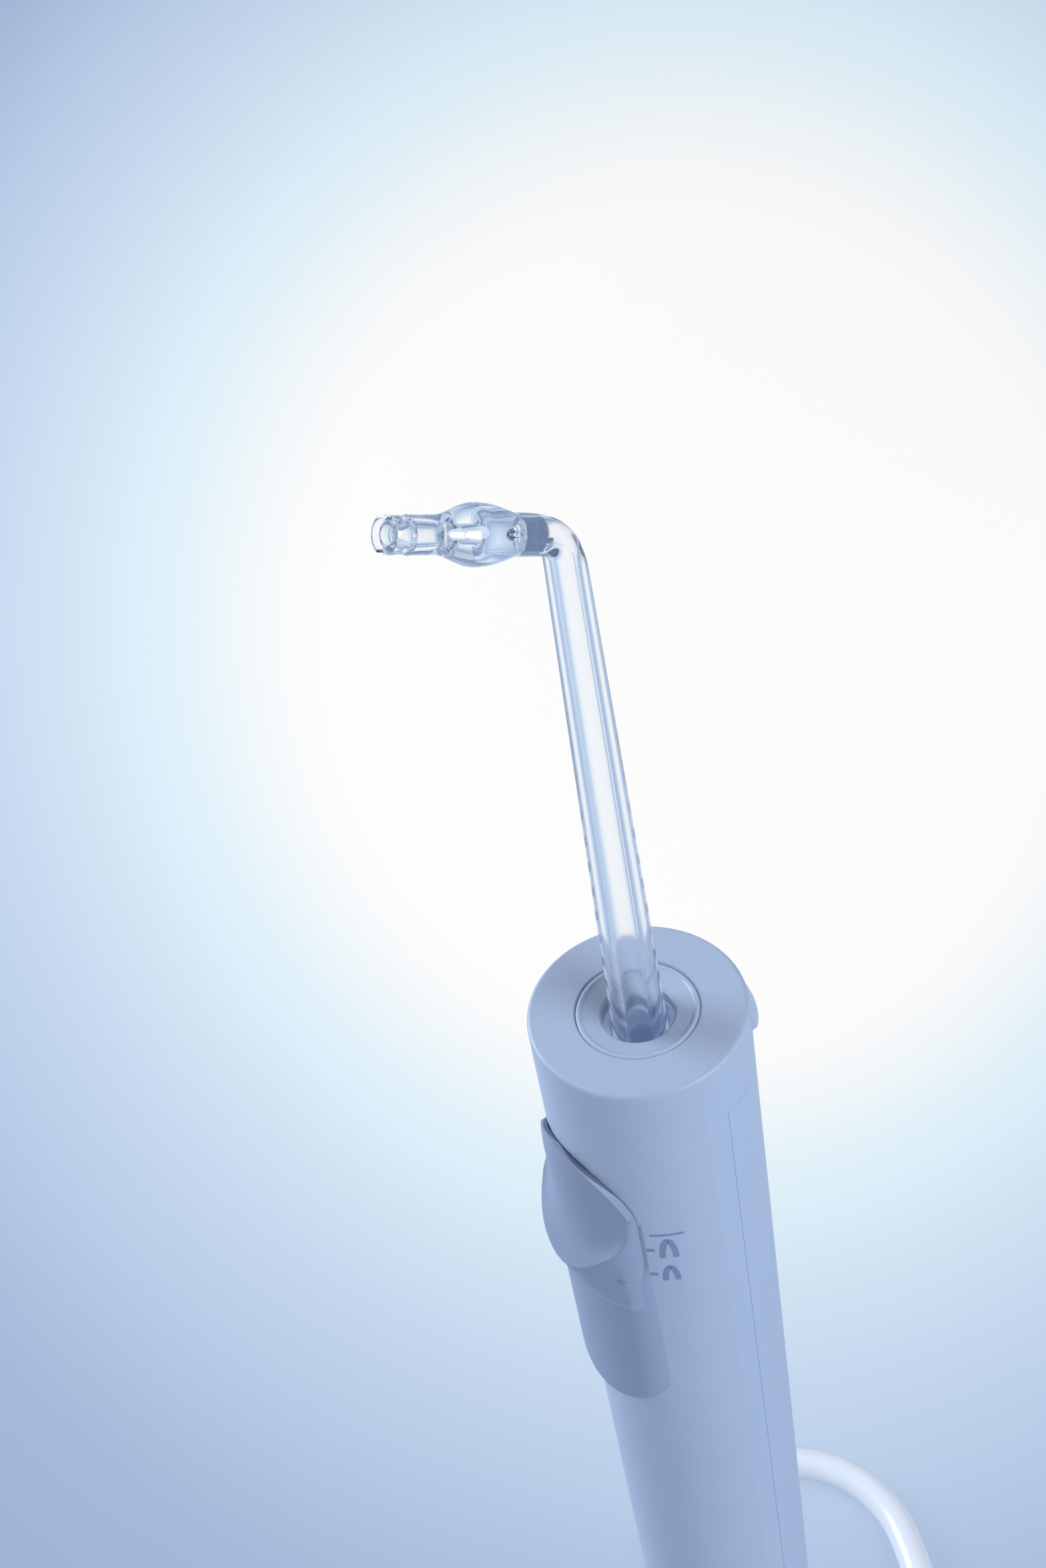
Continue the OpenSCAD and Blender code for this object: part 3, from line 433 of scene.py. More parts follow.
def makeFineRings(r):  # turning or extrusion rings along an axis
    tree, feed, out = startGroup(
        "fineRings",
        [("Origin", "Vector", (0, 0, 0)), ("Direction", "Vector", (0, 0, 1)),
         ("PerMetre", "Float", 6000.0), ("Wander", "Float", 0.6)],
        [("Height", "Float"), ("Mask", "Float")])
    place = newNode(tree, "TexCoord").outputs["Object"]
    shift = addVector(tree, "SUBTRACT", place, feed.outputs["Origin"])
    along = addVector(tree, "DOT_PRODUCT", shift.outputs[0], feed.outputs["Direction"])
    drift = addNoise(tree, r["wanderScale"], r["detail"])
    wander = addMath(tree, "MULTIPLY", drift, feed.outputs["Wander"])
    phase = addMath(tree, "MULTIPLY_ADD", along.outputs["Value"], feed.outputs["PerMetre"],
                    addMath(tree, "MULTIPLY", wander, r["fullWave"]))
    wave = addMath(tree, "MULTIPLY_ADD", addMath(tree, "SINE", phase), 0.5, 0.5)
    tree.links.new(wave, out.inputs["Height"])
    mask = addMath(tree, "MULTIPLY", wave, addNoise(tree, r["maskScale"], r["detail"]))
    tree.links.new(mask, out.inputs["Mask"])
    return tree


toneDrift, mouldGrain = makeToneDrift(), makeMouldGrain(grainMix)
scuffs, fineRings = makeScuffs(scuffLook), makeFineRings(ringLook)


def placeGroup(tree, group, **values):
    node = newNode(tree, "Group")
    node.node_tree = group
    for socket, value in values.items():
        node.inputs[socket].default_value = value
    return node


def addBump(tree, height, strength, depth, shader):
    bump = newNode(tree, "Bump")
    bump.inputs["Strength"].default_value = strength
    bump.inputs["Distance"].default_value = depth * mm
    tree.links.new(height, bump.inputs["Height"])
    tree.links.new(bump.outputs["Normal"], shader.inputs["Normal"])


def startFinish(name, f, color):  # a material with a drifting colour and a grained roughness
    material = bpy.data.materials.new(name)
    material.use_nodes = True
    tree = material.node_tree
    shader = tree.nodes["Principled BSDF"]
    tone = placeGroup(tree, toneDrift, Color=color, Scale=f["driftScale"], Amount=f["drift"])
    grain = placeGroup(tree, mouldGrain, Scale=f["grain"], Roughness=f["rough"], Spread=f["spread"])
    tree.links.new(tone.outputs["Color"], shader.inputs["Base Color"])
    tree.links.new(grain.outputs["Roughness"], shader.inputs["Roughness"])
    return material, tree, shader, tone, grain


# Moulded plastics and rubbers: colour, its drift, grain, and scuffs where hands or fittings rub
finishColumns = ("color", "drift", "rough", "spread", "grain", "bump", "scuff")
finishes = {
    "shellPlastic": ((160, 179, 210), 0.05, 0.42, 0.12, 2600.0, 0.06, 0.05),
    "switchPlastic": ((132, 151, 184), 0.07, 0.5, 0.14, 1800.0, 0.16, 0.06),
    "innerPlastic": ((224, 229, 237), 0.06, 0.5, 0.1, 2000.0, 0.1, 0.0),
    "socketPlastic": ((190, 205, 230), 0.08, 0.45, 0.12, 2000.0, 0.1, 0.04),
    "greyPlastic": ((120, 136, 170), 0.08, 0.48, 0.14, 2000.0, 0.12, 0.05),
    "sealRubber": ((60, 63, 70), 0.12, 0.7, 0.15, 1500.0, 0.12, 0.0),
    "bootRubber": ((120, 136, 170), 0.1, 0.62, 0.14, 1600.0, 0.2, 0.04),
    "hoseVinyl": ((214, 225, 241), 0.05, 0.3, 0.12, 700.0, 0.05, 0.05),
    # painted shade: a dark finish for the band low on the slide's arch wall, standing in for the shadow in the
    # gap under the lip
    "slidePaintedShade": ((82, 95, 128), 0.1, 0.6, 0.12, 1800.0, 0.12, 0.0),
    "markInk": ((114, 135, 179), 0.1, 0.55, 0.1, 3000.0, 0.08, 0.0),
}
mouldedShared = {"driftScale": 60.0, "bumpDepth": 0.05}


def makeMoulded(name, f):
    material, tree, shader, _, grain = startFinish(name, f, srgb(*f["color"]))
    if f["scuff"]:
        rub = placeGroup(tree, scuffs, Amount=f["scuff"])
        rubbed = addMath(tree, "ADD", grain.outputs["Roughness"], rub.outputs["Mask"])
        tree.links.new(rubbed, shader.inputs["Roughness"])
    addBump(tree, grain.outputs["Height"], f["bump"], f["bumpDepth"], shader)
    return material


materials = {name: makeMoulded(name, mouldedShared | dict(zip(finishColumns, row)))
             for name, row in finishes.items()}
hoseCoat = 0.3
materials["hoseVinyl"].node_tree.nodes["Principled BSDF"].inputs["Coat Weight"].default_value = hoseCoat

# painted light: the socket plastic is given a faint blue emission so its hole reads lighter than its shade
socketPaintedGlow = {"color": (0.42, 0.57, 1.0, 1.0), "strength": 0.13}  # painted light: a faint glow that lifts the socket's shaded hole, in place of light through its thin wall
socketShader = materials["socketPlastic"].node_tree.nodes["Principled BSDF"]
socketShader.inputs["Emission Color"].default_value = socketPaintedGlow["color"]
socketShader.inputs["Emission Strength"].default_value = socketPaintedGlow["strength"]


# Clear plastics: the outside, the bulb's slight tint, and the duller walls of the water way
clearShared = {"ior": 1.49, "drift": 0.03, "driftScale": 220.0, "bump": 0.012, "bumpDepth": 0.2}
clearFinishes = {
    "clearPlastic": {"color": (0.99, 0.995, 1.0, 1.0), "rough": 0.012, "spread": 0.012, "grain": 300.0},
    "clearBulb": {"color": (0.965, 0.978, 0.99, 1.0), "rough": 0.012, "spread": 0.012, "grain": 300.0},
    "clearBore": {"color": (0.99, 0.995, 1.0, 1.0), "rough": 0.09, "spread": 0.05, "grain": 500.0},
}


def makeClear(name, c):
    material, tree, shader, _, grain = startFinish(name, c, c["color"])
    shader.inputs["Transmission Weight"].default_value = 1.0
    shader.inputs["IOR"].default_value = c["ior"]
    addBump(tree, grain.outputs["Height"], c["bump"], c["bumpDepth"], shader)
    return material


# Grey of the insert, in fine turned rings
insertGrey = {"color": (150, 166, 198), "pale": (186, 200, 224), "drift": 0.35, "driftScale": 1400.0,
              "rough": 0.5, "spread": 0.2, "grain": 4000.0, "perMetre": 42000.0, "wander": 0.5,
              "bump": 0.25, "bumpDepth": 0.05}


def makeInsert(i):
    material, tree, shader, tone, _ = startFinish("insertGrey", i, srgb(*i["color"]))
    tipWay = (0.0, -math.sin(tipAngle), math.cos(tipAngle))
    rings = placeGroup(tree, fineRings, Origin=(0, 0, bendZ), Direction=tipWay, PerMetre=i["perMetre"],
                       Wander=i["wander"])
    blend = newNode(tree, "Mix")
    blend.data_type = "RGBA"
    blend.inputs["A"].default_value = srgb(*i["color"])
    blend.inputs["B"].default_value = srgb(*i["pale"])
    tree.links.new(rings.outputs["Mask"], blend.inputs["Factor"])
    tree.links.new(blend.outputs["Result"], tone.inputs["Color"])
    addBump(tree, rings.outputs["Height"], i["bump"], i["bumpDepth"], shader)
    return material


# Drawn spring wire
springSteel = {"color": (196, 200, 206), "drift": 0.12, "driftScale": 300.0, "rough": 0.24, "spread": 0.15,
               "grain": 1500.0, "perMetre": 20000.0, "wander": 0.3, "bump": 0.08, "bumpDepth": 0.02}


def makeSteel(s):
    material, tree, shader, _, _ = startFinish("springSteel", s, srgb(*s["color"]))
    shader.inputs["Metallic"].default_value = 1.0
    draw = placeGroup(tree, fineRings, PerMetre=s["perMetre"], Wander=s["wander"])
    addBump(tree, draw.outputs["Height"], s["bump"], s["bumpDepth"], shader)
    return material


for clearName, clearLook in clearFinishes.items():
    materials[clearName] = makeClear(clearName, clearShared | clearLook)
materials["insertGrey"] = makeInsert(insertGrey)
materials["springSteel"] = makeSteel(springSteel)
print("materials made:", len(materials))

# Finish of each CAD node, by its slot or by its own name
slotFinish = {"shell": "shellPlastic", "switch": "switchPlastic", "clear": "clearPlastic",
              "insert": "greyPlastic", "inner": "innerPlastic", "seal": "sealRubber", "boot": "bootRubber",
              "spring_steel": "springSteel", "hose": "hoseVinyl"}
nodeFinish = {"filter_sleeve": "insertGrey", "nozzle_foot": "socketPlastic", "turn_sleeve": "socketPlastic"}


def dressNode(name, slot):
    data = nodes[name].data
    data.materials.clear()
    data.materials.append(materials[nodeFinish.get(name, slotFinish[slot])])


for row in frame["record"]["subparts"]:
    dressNode(row["node"], row["material_slot"])
supplyHose.data.materials.append(materials["hoseVinyl"])
print("frame nodes dressed:", len(nodes))


# Mesh helpers
weldGap = 0.5e-6


def addPiece(name, corners, faces, body, finish, replaced=(), sharp=40.0, second=None, secondFaces=()):
    mesh = bpy.data.meshes.new(name)
    mesh.from_pydata([tuple(c) for c in corners], [], faces)
    for face in secondFaces:
        mesh.polygons[face].material_index = 1
    work = bmesh.new()
    work.from_mesh(mesh)
    bmesh.ops.remove_doubles(work, verts=work.verts, dist=weldGap)
    bmesh.ops.recalc_face_normals(work, faces=work.faces)
    work.to_mesh(mesh)
    work.free()
    mesh.shade_smooth()
    mesh.set_sharp_from_angle(angle=math.radians(sharp))
    mesh.materials.append(materials[finish])
    if second:
        mesh.materials.append(materials[second])
    piece = addObject(name, mesh)
    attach(piece, body)
    if replaced:
        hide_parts(*replaced)
    return piece


def fullTurn(steps):
    return [2 * math.pi * k / steps for k in range(steps)]


def polar(radius, turn, height):  # in mm about the z axis
    return Vector((radius * mm * math.cos(turn), radius * mm * math.sin(turn), height * mm))


def skinRings(rings, looped):  # quads between rings of equal counts; looped joins the last ring to the first
    count = len(rings[0])
    corners = [c for ring in rings for c in ring]
    faces = []
    for row in range(len(rings) if looped else len(rings) - 1):
        here, there = row * count, (row + 1) % len(rings) * count
        faces += [(here + k, here + (k + 1) % count, there + (k + 1) % count, there + k)
                  for k in range(count)]
    return corners, faces


def addBar(corners, faces, rings):  # joins rings into a bar that is closed at both ends
    base, count = len(corners), len(rings[0])
    spots, quads = skinRings(rings, False)
    ends = [tuple(range(count))[::-1], tuple(range(len(spots) - count, len(spots)))]
    corners += spots
    faces += [tuple(base + c for c in face) for face in quads + ends]


# Ring angles with extra steps at both sides, where the mould's parting line stands up as a fine ridge
parting = {"steps": 216, "height": 0.02, "halfWidth": 0.07, "room": 0.6,
           "offsets": (-2.4, -1.6, -0.8, 0.0, 0.8, 1.6, 2.4)}


def ringAngles(p):
    even = {round(360 * k / p["steps"], 4) for k in range(p["steps"])}
    reach = max(p["offsets"]) + p["room"]
    even = {a for a in even if min(abs(a), abs(a - 180), abs(a - 360)) > reach}
    return sorted(even | {(middle + off) % 360 for middle in (0, 180) for off in p["offsets"]})


ringTurns = [math.radians(a) for a in ringAngles(parting)]


def partingRise(p, radius, turn):
    off = abs(math.sin(turn)) * radius
    return p["height"] * math.exp(-(off / p["halfWidth"]) ** 2)


trimPower = 1.5


def turnedRing(place, reach, radius, ridge=False, trim=0.0):  # trim flattens one side
    spots = []
    for turn in ringTurns:
        ridgeRise = partingRise(parting, radius, turn) if ridge else 0.0
        r = radius + ridgeRise - trim * max(0.0, math.sin(turn)) ** trimPower
        spots.append(place @ polar(r, turn, reach))
    return spots


# Turns a profile of reach and radius pairs about the tip's axis; rows up to ridged carry the parting line
def tipLathe(profile, ridged=0):
    return skinRings([turnedRing(tipPlace, reach, radius, row < ridged)
                      for row, (reach, radius) in enumerate(profile)], True)


# Clear stem: tapered tube, bend and the short neck up to the bulb
stem = {
    "base": -5.0,  # from the top face
    "spigot": 6.0,
    "spigotRadius": 2.6,
    "footRadius": 3.5,
    "neckRadius": 2.28,
    "footBore": 1.6,
    "neckBore": 1.18,
    "bendRadius": 3.0,
    "bendTrim": 0.65,  # taken off the outside of the bend
    "trimReach": 2.4,
    "bendRun": 6.0,
    "end": 6.25,
    "cupSeat": 5.75,
    "cupRadius": 1.72,
    "insertBore": 1.03,
    "insertSpan": (2.7, 5.46),
    "insertLead": 0.1,
    "rows": 10,
    "bendRows": 20,
    "neckRows": 8,
}


def bendSpan(s):  # where the bend starts along the stem, and its length
    return bendHeight - s["bendRadius"] * math.tan(tipAngle / 2), s["bendRadius"] * tipAngle


def stemRing(s, along, radius, ridge=False):
    straight, arc = bendSpan(s)
    if along <= straight:
        place = Matrix.Translation((0, 0, topZ + along * mm))
    else:
        turn = min(tipAngle, (along - straight) / s["bendRadius"])
        rest = max(0.0, along - straight - arc)
        place = (Matrix.Translation((0, -s["bendRadius"] * mm, topZ + straight * mm))
                 @ Matrix.Rotation(turn, 4, "X") @ Matrix.Translation((0, s["bendRadius"] * mm, rest * mm)))
    off = (along - straight - arc / 2) / s["trimReach"]
    return turnedRing(place, 0.0, radius, ridge, s["bendTrim"] * math.exp(-off * off) if ridge else 0.0)


def makeStem(s):
    straight, arc = bendSpan(s)
    reachToAlong = 2 * straight + arc - bendHeight
    end, cupSeat = s["end"] + reachToAlong, s["cupSeat"] + reachToAlong
    low, high = (v + reachToAlong for v in s["insertSpan"])
    runStart = straight - s["bendRun"]

    def taper(along, foot, neck):
        return between(foot, neck, min(1.0, along / straight))

    stops = list(np.linspace(s["base"], runStart, s["rows"]))
    stops += list(np.linspace(runStart, straight, s["rows"]))[1:]
    stops += list(np.linspace(straight, straight + arc, s["bendRows"]))[1:]
    stops += list(np.linspace(straight + arc, end, s["neckRows"]))[1:]
    rings = [stemRing(s, a, taper(a, s["footRadius"], s["neckRadius"]), True) for a in stops]
    rings += [stemRing(s, a, radius) for a, radius in (
        (end, s["cupRadius"]), (cupSeat, s["cupRadius"]), (cupSeat, s["neckBore"]), (high, s["neckBore"]),
        (high, s["insertBore"]), (low, s["insertBore"]), (low, s["neckBore"]))]
    inner = [a for a in reversed(stops) if a < low - s["insertLead"]] + [s["base"] - s["spigot"]]
    boreStart = len(rings)
    rings += [stemRing(s, a, taper(a, s["footBore"], s["neckBore"])) for a in inner]
    bore = range(boreStart * len(ringTurns), len(rings) * len(ringTurns))
    rings += [stemRing(s, a, s["spigotRadius"]) for a in (s["base"] - s["spigot"], s["base"])]
    corners, faces = skinRings(rings, True)
    addPiece("nozzleStem", corners, faces, "nozzle", "clearPlastic", ["nozzle_stem"], sharp=50,
             second="clearBore", secondFaces=bore)


# Clear bulb with its mixing chamber and narrow neck, and the sleeve in front of it
bulb = {
    "start": 6.27,
    "middle": 11.1,
    "end": 16.2,
    "neckRadius": 2.28,
    "widest": 3.3,
    "sleeveRadius": 2.03,
    "chamber": 1.72,
    "chamberFront": 11.0,
    "bevel": 0.5,
    "bevelRadius": 1.3,
    "bevelBreak": (0.12, 0.2),  # back and out
    "neck": 0.75,
    "neckFillet": 0.22,
    "filletFrom": 0.3,  # radians
    "neckEnd": 14.1,
    "outlet": 1.03,
    "front": 19.38,
    "rows": 36,
    "sleeveRows": 8,
    "outletRows": 10,
    "neckRows": 6,
    "filletRows": 5,
    "chamberRows": 8,
    "boreRows": 22,
}


def bulbRadius(b, reach):
    if reach < b["middle"]:
        swell = math.sin(math.pi / 2 * (reach - b["start"]) / (b["middle"] - b["start"]))
        return between(b["neckRadius"], b["widest"], swell)
    fall = min(1.0, (reach - b["middle"]) / (b["end"] - b["middle"]))
    return b["sleeveRadius"] + (b["widest"] - b["sleeveRadius"]) / 2 * (1 + math.cos(math.pi * fall))


def makeBulb(b):
    profile = [(r, bulbRadius(b, r)) for r in np.linspace(b["start"], b["end"], b["rows"])]
    profile += [(r, b["sleeveRadius"]) for r in np.linspace(b["end"], b["front"], b["sleeveRows"])[1:]]
    outer = len(profile)
    profile += [(r, between(b["outlet"], b["neck"], (b["front"] - r) / (b["front"] - b["neckEnd"])))
                for r in np.linspace(b["front"], b["neckEnd"], b["outletRows"])]
    corner = b["chamberFront"] + b["neckFillet"]
    profile += [(r, b["neck"]) for r in np.linspace(b["neckEnd"], corner, b["neckRows"])[1:]]
    profile += [(corner - b["neckFillet"] * math.sin(a), b["neck"] + b["neckFillet"] * (1 - math.cos(a)))
                for a in np.linspace(b["filletFrom"], math.pi / 2, b["filletRows"])]
    (back, out), bevelEnd = b["bevelBreak"], b["chamberFront"] - b["bevel"]
    profile += [(b["chamberFront"], b["bevelRadius"]), (b["chamberFront"] - back, b["bevelRadius"] + out),
                (bevelEnd, b["chamber"])]
    profile += [(r, b["chamber"]) for r in np.linspace(bevelEnd, b["start"], b["chamberRows"])[1:]]
    corners, faces = tipLathe(profile, outer)
    bore = range(outer * len(ringTurns), (outer + b["boreRows"]) * len(ringTurns))
    addPiece("bulbShell", corners, faces, "nozzle", "clearBulb", ["bulb_shell"], sharp=50,
             second="clearBore", secondFaces=bore)


# Clear end cap: outlet ring and, on one side, a half hood with a crescent slot
cap = {
    "start": 19.4,
    "step": 20.0,
    "face": 21.7,
    "hood": 22.3,
    "radius": 1.98,
    "round": 0.12,
    "midRound": 0.3,  # share of it that is cut midway round the front edge
    "slotFloor": 20.5,
    "slotOuter": 1.63,
    "slotInner": 1.41,
    "outlet": 1.03,
    "soft": 0.06,
    "groove": 0.05,
    "hoodEdge": 1.2,  # degrees
}


def makeCap(c):
    edge = math.radians(c["hoodEdge"])
    hoodEnds = [end + off for end in (math.pi / 2, 3 * math.pi / 2) for off in (-edge, edge)]
    soft, radius, face = c["soft"], c["radius"], c["face"]
    corner = c["round"] * c["midRound"]
    rings = []
    for turn in sorted(set(ringTurns + hoodEnds)):
        hooded = math.pi / 2 < turn < 3 * math.pi / 2
        top, slot = (c["hood"], c["slotFloor"]) if hooded else (face, face)
        profile = [(c["start"], radius), (c["step"] - soft, radius), (c["step"], radius - c["groove"]),
                   (c["step"] + soft, radius), (top - c["round"], radius), (top - corner, radius - corner),
                   (top, radius - c["round"]), (top, c["slotOuter"]), (slot, c["slotOuter"]),
                   (slot, c["slotInner"]), (face - soft if hooded else face, c["slotInner"]),
                   (face, c["slotInner"] - soft), (face, c["outlet"] + soft), (face - soft, c["outlet"]),
                   (c["start"], c["outlet"])]
        rings.append([tipPlace @ polar(r, turn, reach) for reach, r in profile])
    corners, faces = skinRings(rings, True)
    addPiece("outletCap", corners, faces, "nozzle", "clearPlastic", ["outlet_cap"])


# Clear jet: a disc at the chamber's back with a cone that points into it
jet = {"start": 5.77, "disc": 0.6, "length": 1.95, "radius": 1.7, "cone": 1.05, "tip": 0.4, "bore": 0.25,
       "round": 0.06, "coneRows": (0.15, 0.97, 5)}


def makeJet(j):
    edge, front, tip = j["round"], j["start"] + j["disc"], j["start"] + j["length"]
    profile = [(j["start"], j["radius"] - edge), (j["start"] + edge, j["radius"]), (front - edge, j["radius"]),
               (front, j["radius"] - edge), (front, j["cone"] + edge), (front + edge, j["cone"] - edge / 2)]
    profile += [(between(front, tip, part), between(j["cone"], j["tip"], part))
                for part in np.linspace(*j["coneRows"])]
    profile += [(tip, j["tip"] - edge), (tip, j["bore"]), (j["start"], j["bore"])]
    corners, faces = tipLathe(profile)
    addPiece("mixingJet", corners, faces, "nozzle", "clearPlastic", ["mixing_jet"])


# Grey insert, set in the neck with no air around it
insert = {"start": 2.72, "end": 5.4, "radius": 1.04, "bore": 0.62, "jet": 0.25, "chamfer": 0.1, "floor": 0.4,
          "rows": 12}


def makeInsertPiece(i):
    start, end, cut, floor = i["start"], i["end"], i["chamfer"], i["start"] + i["floor"]
    profile = [(start, i["radius"] - cut)]
    profile += [(r, i["radius"]) for r in np.linspace(start + cut, end - cut, i["rows"])]
    profile += [(end, i["radius"] - cut), (end, i["bore"]), (floor, i["bore"]), (floor, i["jet"]),
                (start, i["jet"])]
    corners, faces = tipLathe(profile)
    addPiece("filterInsert", corners, faces, "nozzle", "insertGrey", ["filter_sleeve"])


makeStem(stem)
makeBulb(bulb)
makeCap(cap)
makeJet(jet)
makeInsertPiece(insert)
print("nozzle made")


# Sheets laid over the handle's front: a grid of across and depth with a rise, closed by an underside;
# with a middle layer, the wall along the upper edge below it is listed for a second finish, a dark painted
# shade
def sheetSolid(columns, rows, spot, top, under, paintedShadeTop=None):
    layers = [top, under] if paintedShadeTop is None else [top, paintedShadeTop, under]
    size = (columns + 1) * (rows + 1)
    corners = []
    for layer in layers:
        for a in range(columns + 1):
            for b in range(rows + 1):
                x, depth = spot(2 * a / columns - 1, b / rows)
                corners.append(onHandle(x, depth, layer(x, depth)))
    step = rows + 1
    last = (len(layers) - 1) * size
    faces = []
    for a in range(columns):
        for b in range(rows):
            k = a * step + b
            faces.append((k, k + 1, k + step + 1, k + step))
            faces.append((k + last, k + step + last, k + step + 1 + last, k + 1 + last))
    rim = [a * step for a in range(columns + 1)] + [columns * step + b for b in range(1, rows + 1)]
    rim += [a * step + rows for a in range(columns - 1, -1, -1)] + [b for b in range(rows - 1, 0, -1)]
    paintedShadeBand = []
    for layer in range(len(layers) - 1):
        for k, here in enumerate(rim):
            there = rim[(k + 1) % len(rim)]
            if layer and k < columns:
                paintedShadeBand.append(len(faces))
            faces.append((here + layer * size, there + layer * size, there + (layer + 1) * size,
                          here + (layer + 1) * size))
    return corners, faces, paintedShadeBand


softenFrom = 50  # degrees between faces


def softenEdges(piece, width, segments):
    bevel = piece.modifiers.new("edges", "BEVEL")
    bevel.width = width * mm
    bevel.segments = segments
    bevel.limit_method = "ANGLE"
    bevel.angle_limit = math.radians(softenFrom)


# Thumb slide: a round arched lip, a dished thumb rest, a ridge below it and a heel that falls to a bead
slide = {
    "half": 9.75,
    "crest": 16.4,
    "arch": 27.0,
    "archPower": (2.0, 0.5),
    "lipRise": (0.95, 0.8),  # at the sides and in the middle
    "ridgeEnd": 29.5,
    "ridgeDrop": 9.3,
    "ridgePower": (1.8, 0.8),
    "ridgeRise": (1.6, 3.7),
    "ridgeFade": 3,
    "floorRise": (0.7, 1.45),
    "floorReach": 0.8,
    "bowlPower": 3.0,
    "bowlSkew": 0.76,
    "bowlSides": 14,
    "heel": 45.0,
    "heelRise": 1.9,
    "heelPower": 0.8,
    "bead": 1.3,
    "beadRise": 0.3,
    "stepDepth": 35.7,
    "overPlate": (3.0, 4.0, 0.05),  # lead, run and gap of the floor's climb over the plate
    "underUpper": 0.1,
    "underGap": 0.1,
    "leastWall": 0.08,
    # painted shade band: how tall the dark band low on the arch wall may be, how far it reaches and its room
    "paintedShadeBand": 0.55,
    "paintedShadeReach": 0.86,
    "paintedShadeRoom": (0.02, 0.1),
    "sideWidth": 0.9,
    "sideRise": 0.75,
    "edge": 0.16,
    "edgeSteps": 3,
    "columns": 96,
    "rows": 150,
}

# Tongue-shaped plate under the slide, with soft flanks
plate = {
    "half": 10.05,
    "top": 27.0,
    "step": 35.8,
    "ramp": 5.0,
    "bottom": 72.0,
    "tip": 8.8,
    "tipPower": 0.4,
    "rise": 1.55,
    "flush": 0.03,  # under the dish
    "under": -0.4,
    "flank": 1.9,
    "endSlope": 0.8,
    "columns": 96,
    "rows": 96,
}


def softStep(share):
    share = min(1.0, max(0.0, share))
    return share * share * (3 - 2 * share)


def roundStep(share):  # a rounded shoulder
    share = min(1.0, max(0.0, share))
    return math.sqrt(1 - (1 - share) ** 2)


def plateEnd(p, x):  # depth of the plate's rounded end
    return p["bottom"] - p["tip"] + p["tip"] * max(0.0, 1 - (abs(x) / p["half"]) ** 2) ** p["tipPower"]


def plateRise(p, x, depth):
    inside = min(p["half"] - abs(x), (plateEnd(p, x) - depth) * p["endSlope"])
    ramp = softStep((depth - p["step"]) / p["ramp"])
    return p["flush"] + p["rise"] * roundStep(inside / p["flank"]) * ramp


def slideLines(s, u):  # depths of the arched edge and of the ridge at a share of the half width
    archIn, archOut = s["archPower"]
    ridgeIn, ridgeOut = s["ridgePower"]
    upper = between(s["arch"], s["crest"], max(0.0, 1 - u ** archIn) ** archOut)
    lower = s["ridgeEnd"] + s["ridgeDrop"] * max(0.0, 1 - u ** ridgeIn) ** ridgeOut
    return upper, lower


def slideMiddle(s, u, depth):  # rise of the thumb rest and the heel, before the flanks
    upper, lower = slideLines(s, u)
    (lipSide, lipCrest), (ridgeSide, ridgeCrest) = s["lipRise"], s["ridgeRise"]
    ridge = between(ridgeCrest, ridgeSide, u ** s["ridgeFade"])
    if depth <= lower:
        v = min(1.0, max(0.0, (depth - upper) / (lower - upper)))
        edge = between(between(lipSide, lipCrest, 1 - u), ridge, softStep(v))
        floorSide, floorMiddle = s["floorRise"]
        floor = between(floorMiddle, floorSide, min(1.0, u / s["floorReach"]) ** 2)
        lead, run, gap = s["overPlate"]
        climb = softStep((depth - s["stepDepth"] + lead) / run)
        floor = between(floor, max(floor, s["heelRise"] + gap), climb)
        bowl = (1 - abs(2 * v ** s["bowlSkew"] - 1) ** s["bowlPower"]) * (1 - u ** s["bowlSides"])
        return between(edge, floor, bowl)
    beadTop = s["heel"] - s["bead"]
    if depth < beadTop:
        return between(ridge, s["heelRise"], ((depth - lower) / (beadTop - lower)) ** s["heelPower"])
    return s["heelRise"] + s["beadRise"] * math.sin(math.pi * (depth - beadTop) / s["bead"])


def slideTop(s, x, depth):
    flank = roundStep((s["half"] - abs(x)) / s["sideWidth"])
    return between(s["sideRise"], slideMiddle(s, min(1.0, abs(x) / s["half"]), depth), flank)


def slideUnder(s, x, depth):
    if depth < s["stepDepth"]:
        return s["underUpper"]
    return min(plateRise(plate, x, depth) + s["underGap"], slideTop(s, x, depth) - s["leastWall"])


def makeSlide(s):
    def spot(across, along):
        u = math.sin(math.pi / 2 * across)
        return s["half"] * u, between(slideLines(s, abs(u))[0], s["heel"], along)

    # top of the painted shade band on the arch wall
    def paintedShadeTop(x, depth):  # highest midway along each side of the arch
        u = min(1.0, abs(x) / s["half"] / s["paintedShadeReach"])
        least, room = s["paintedShadeRoom"]
        under = slideUnder(s, x, depth)
        tall = min(s["paintedShadeBand"] * math.sin(math.pi * u), slideTop(s, x, depth) - under - room)
        return under + max(least, tall)

    # the upper wall's band below the middle layer takes the dark painted shade finish
    corners, faces, paintedShadeBand = sheetSolid(s["columns"], s["rows"], spot, lambda x, d: slideTop(s, x, d),
                                       lambda x, d: slideUnder(s, x, d), paintedShadeTop)
    piece = addPiece("thumbSlide", corners, faces, "slide", "switchPlastic", ["thumb_slide"],
                     sharp=50, second="slidePaintedShade", secondFaces=paintedShadeBand)
    softenEdges(piece, s["edge"], s["edgeSteps"])


def makePlate(p):
    def spot(across, along):
        x = p["half"] * math.sin(math.pi / 2 * across)
        return x, between(p["top"], plateEnd(p, x), math.sin(math.pi / 2 * along))

    corners, faces, _ = sheetSolid(p["columns"], p["rows"], spot, lambda x, d: plateRise(p, x, d),
                                   lambda x, d: p["under"])
    addPiece("switchPlate", corners, faces, "housing", "switchPlastic", ["switch_plate"],
             sharp=60)


makeSlide(slide)
makePlate(plate)
print("slide switch made")


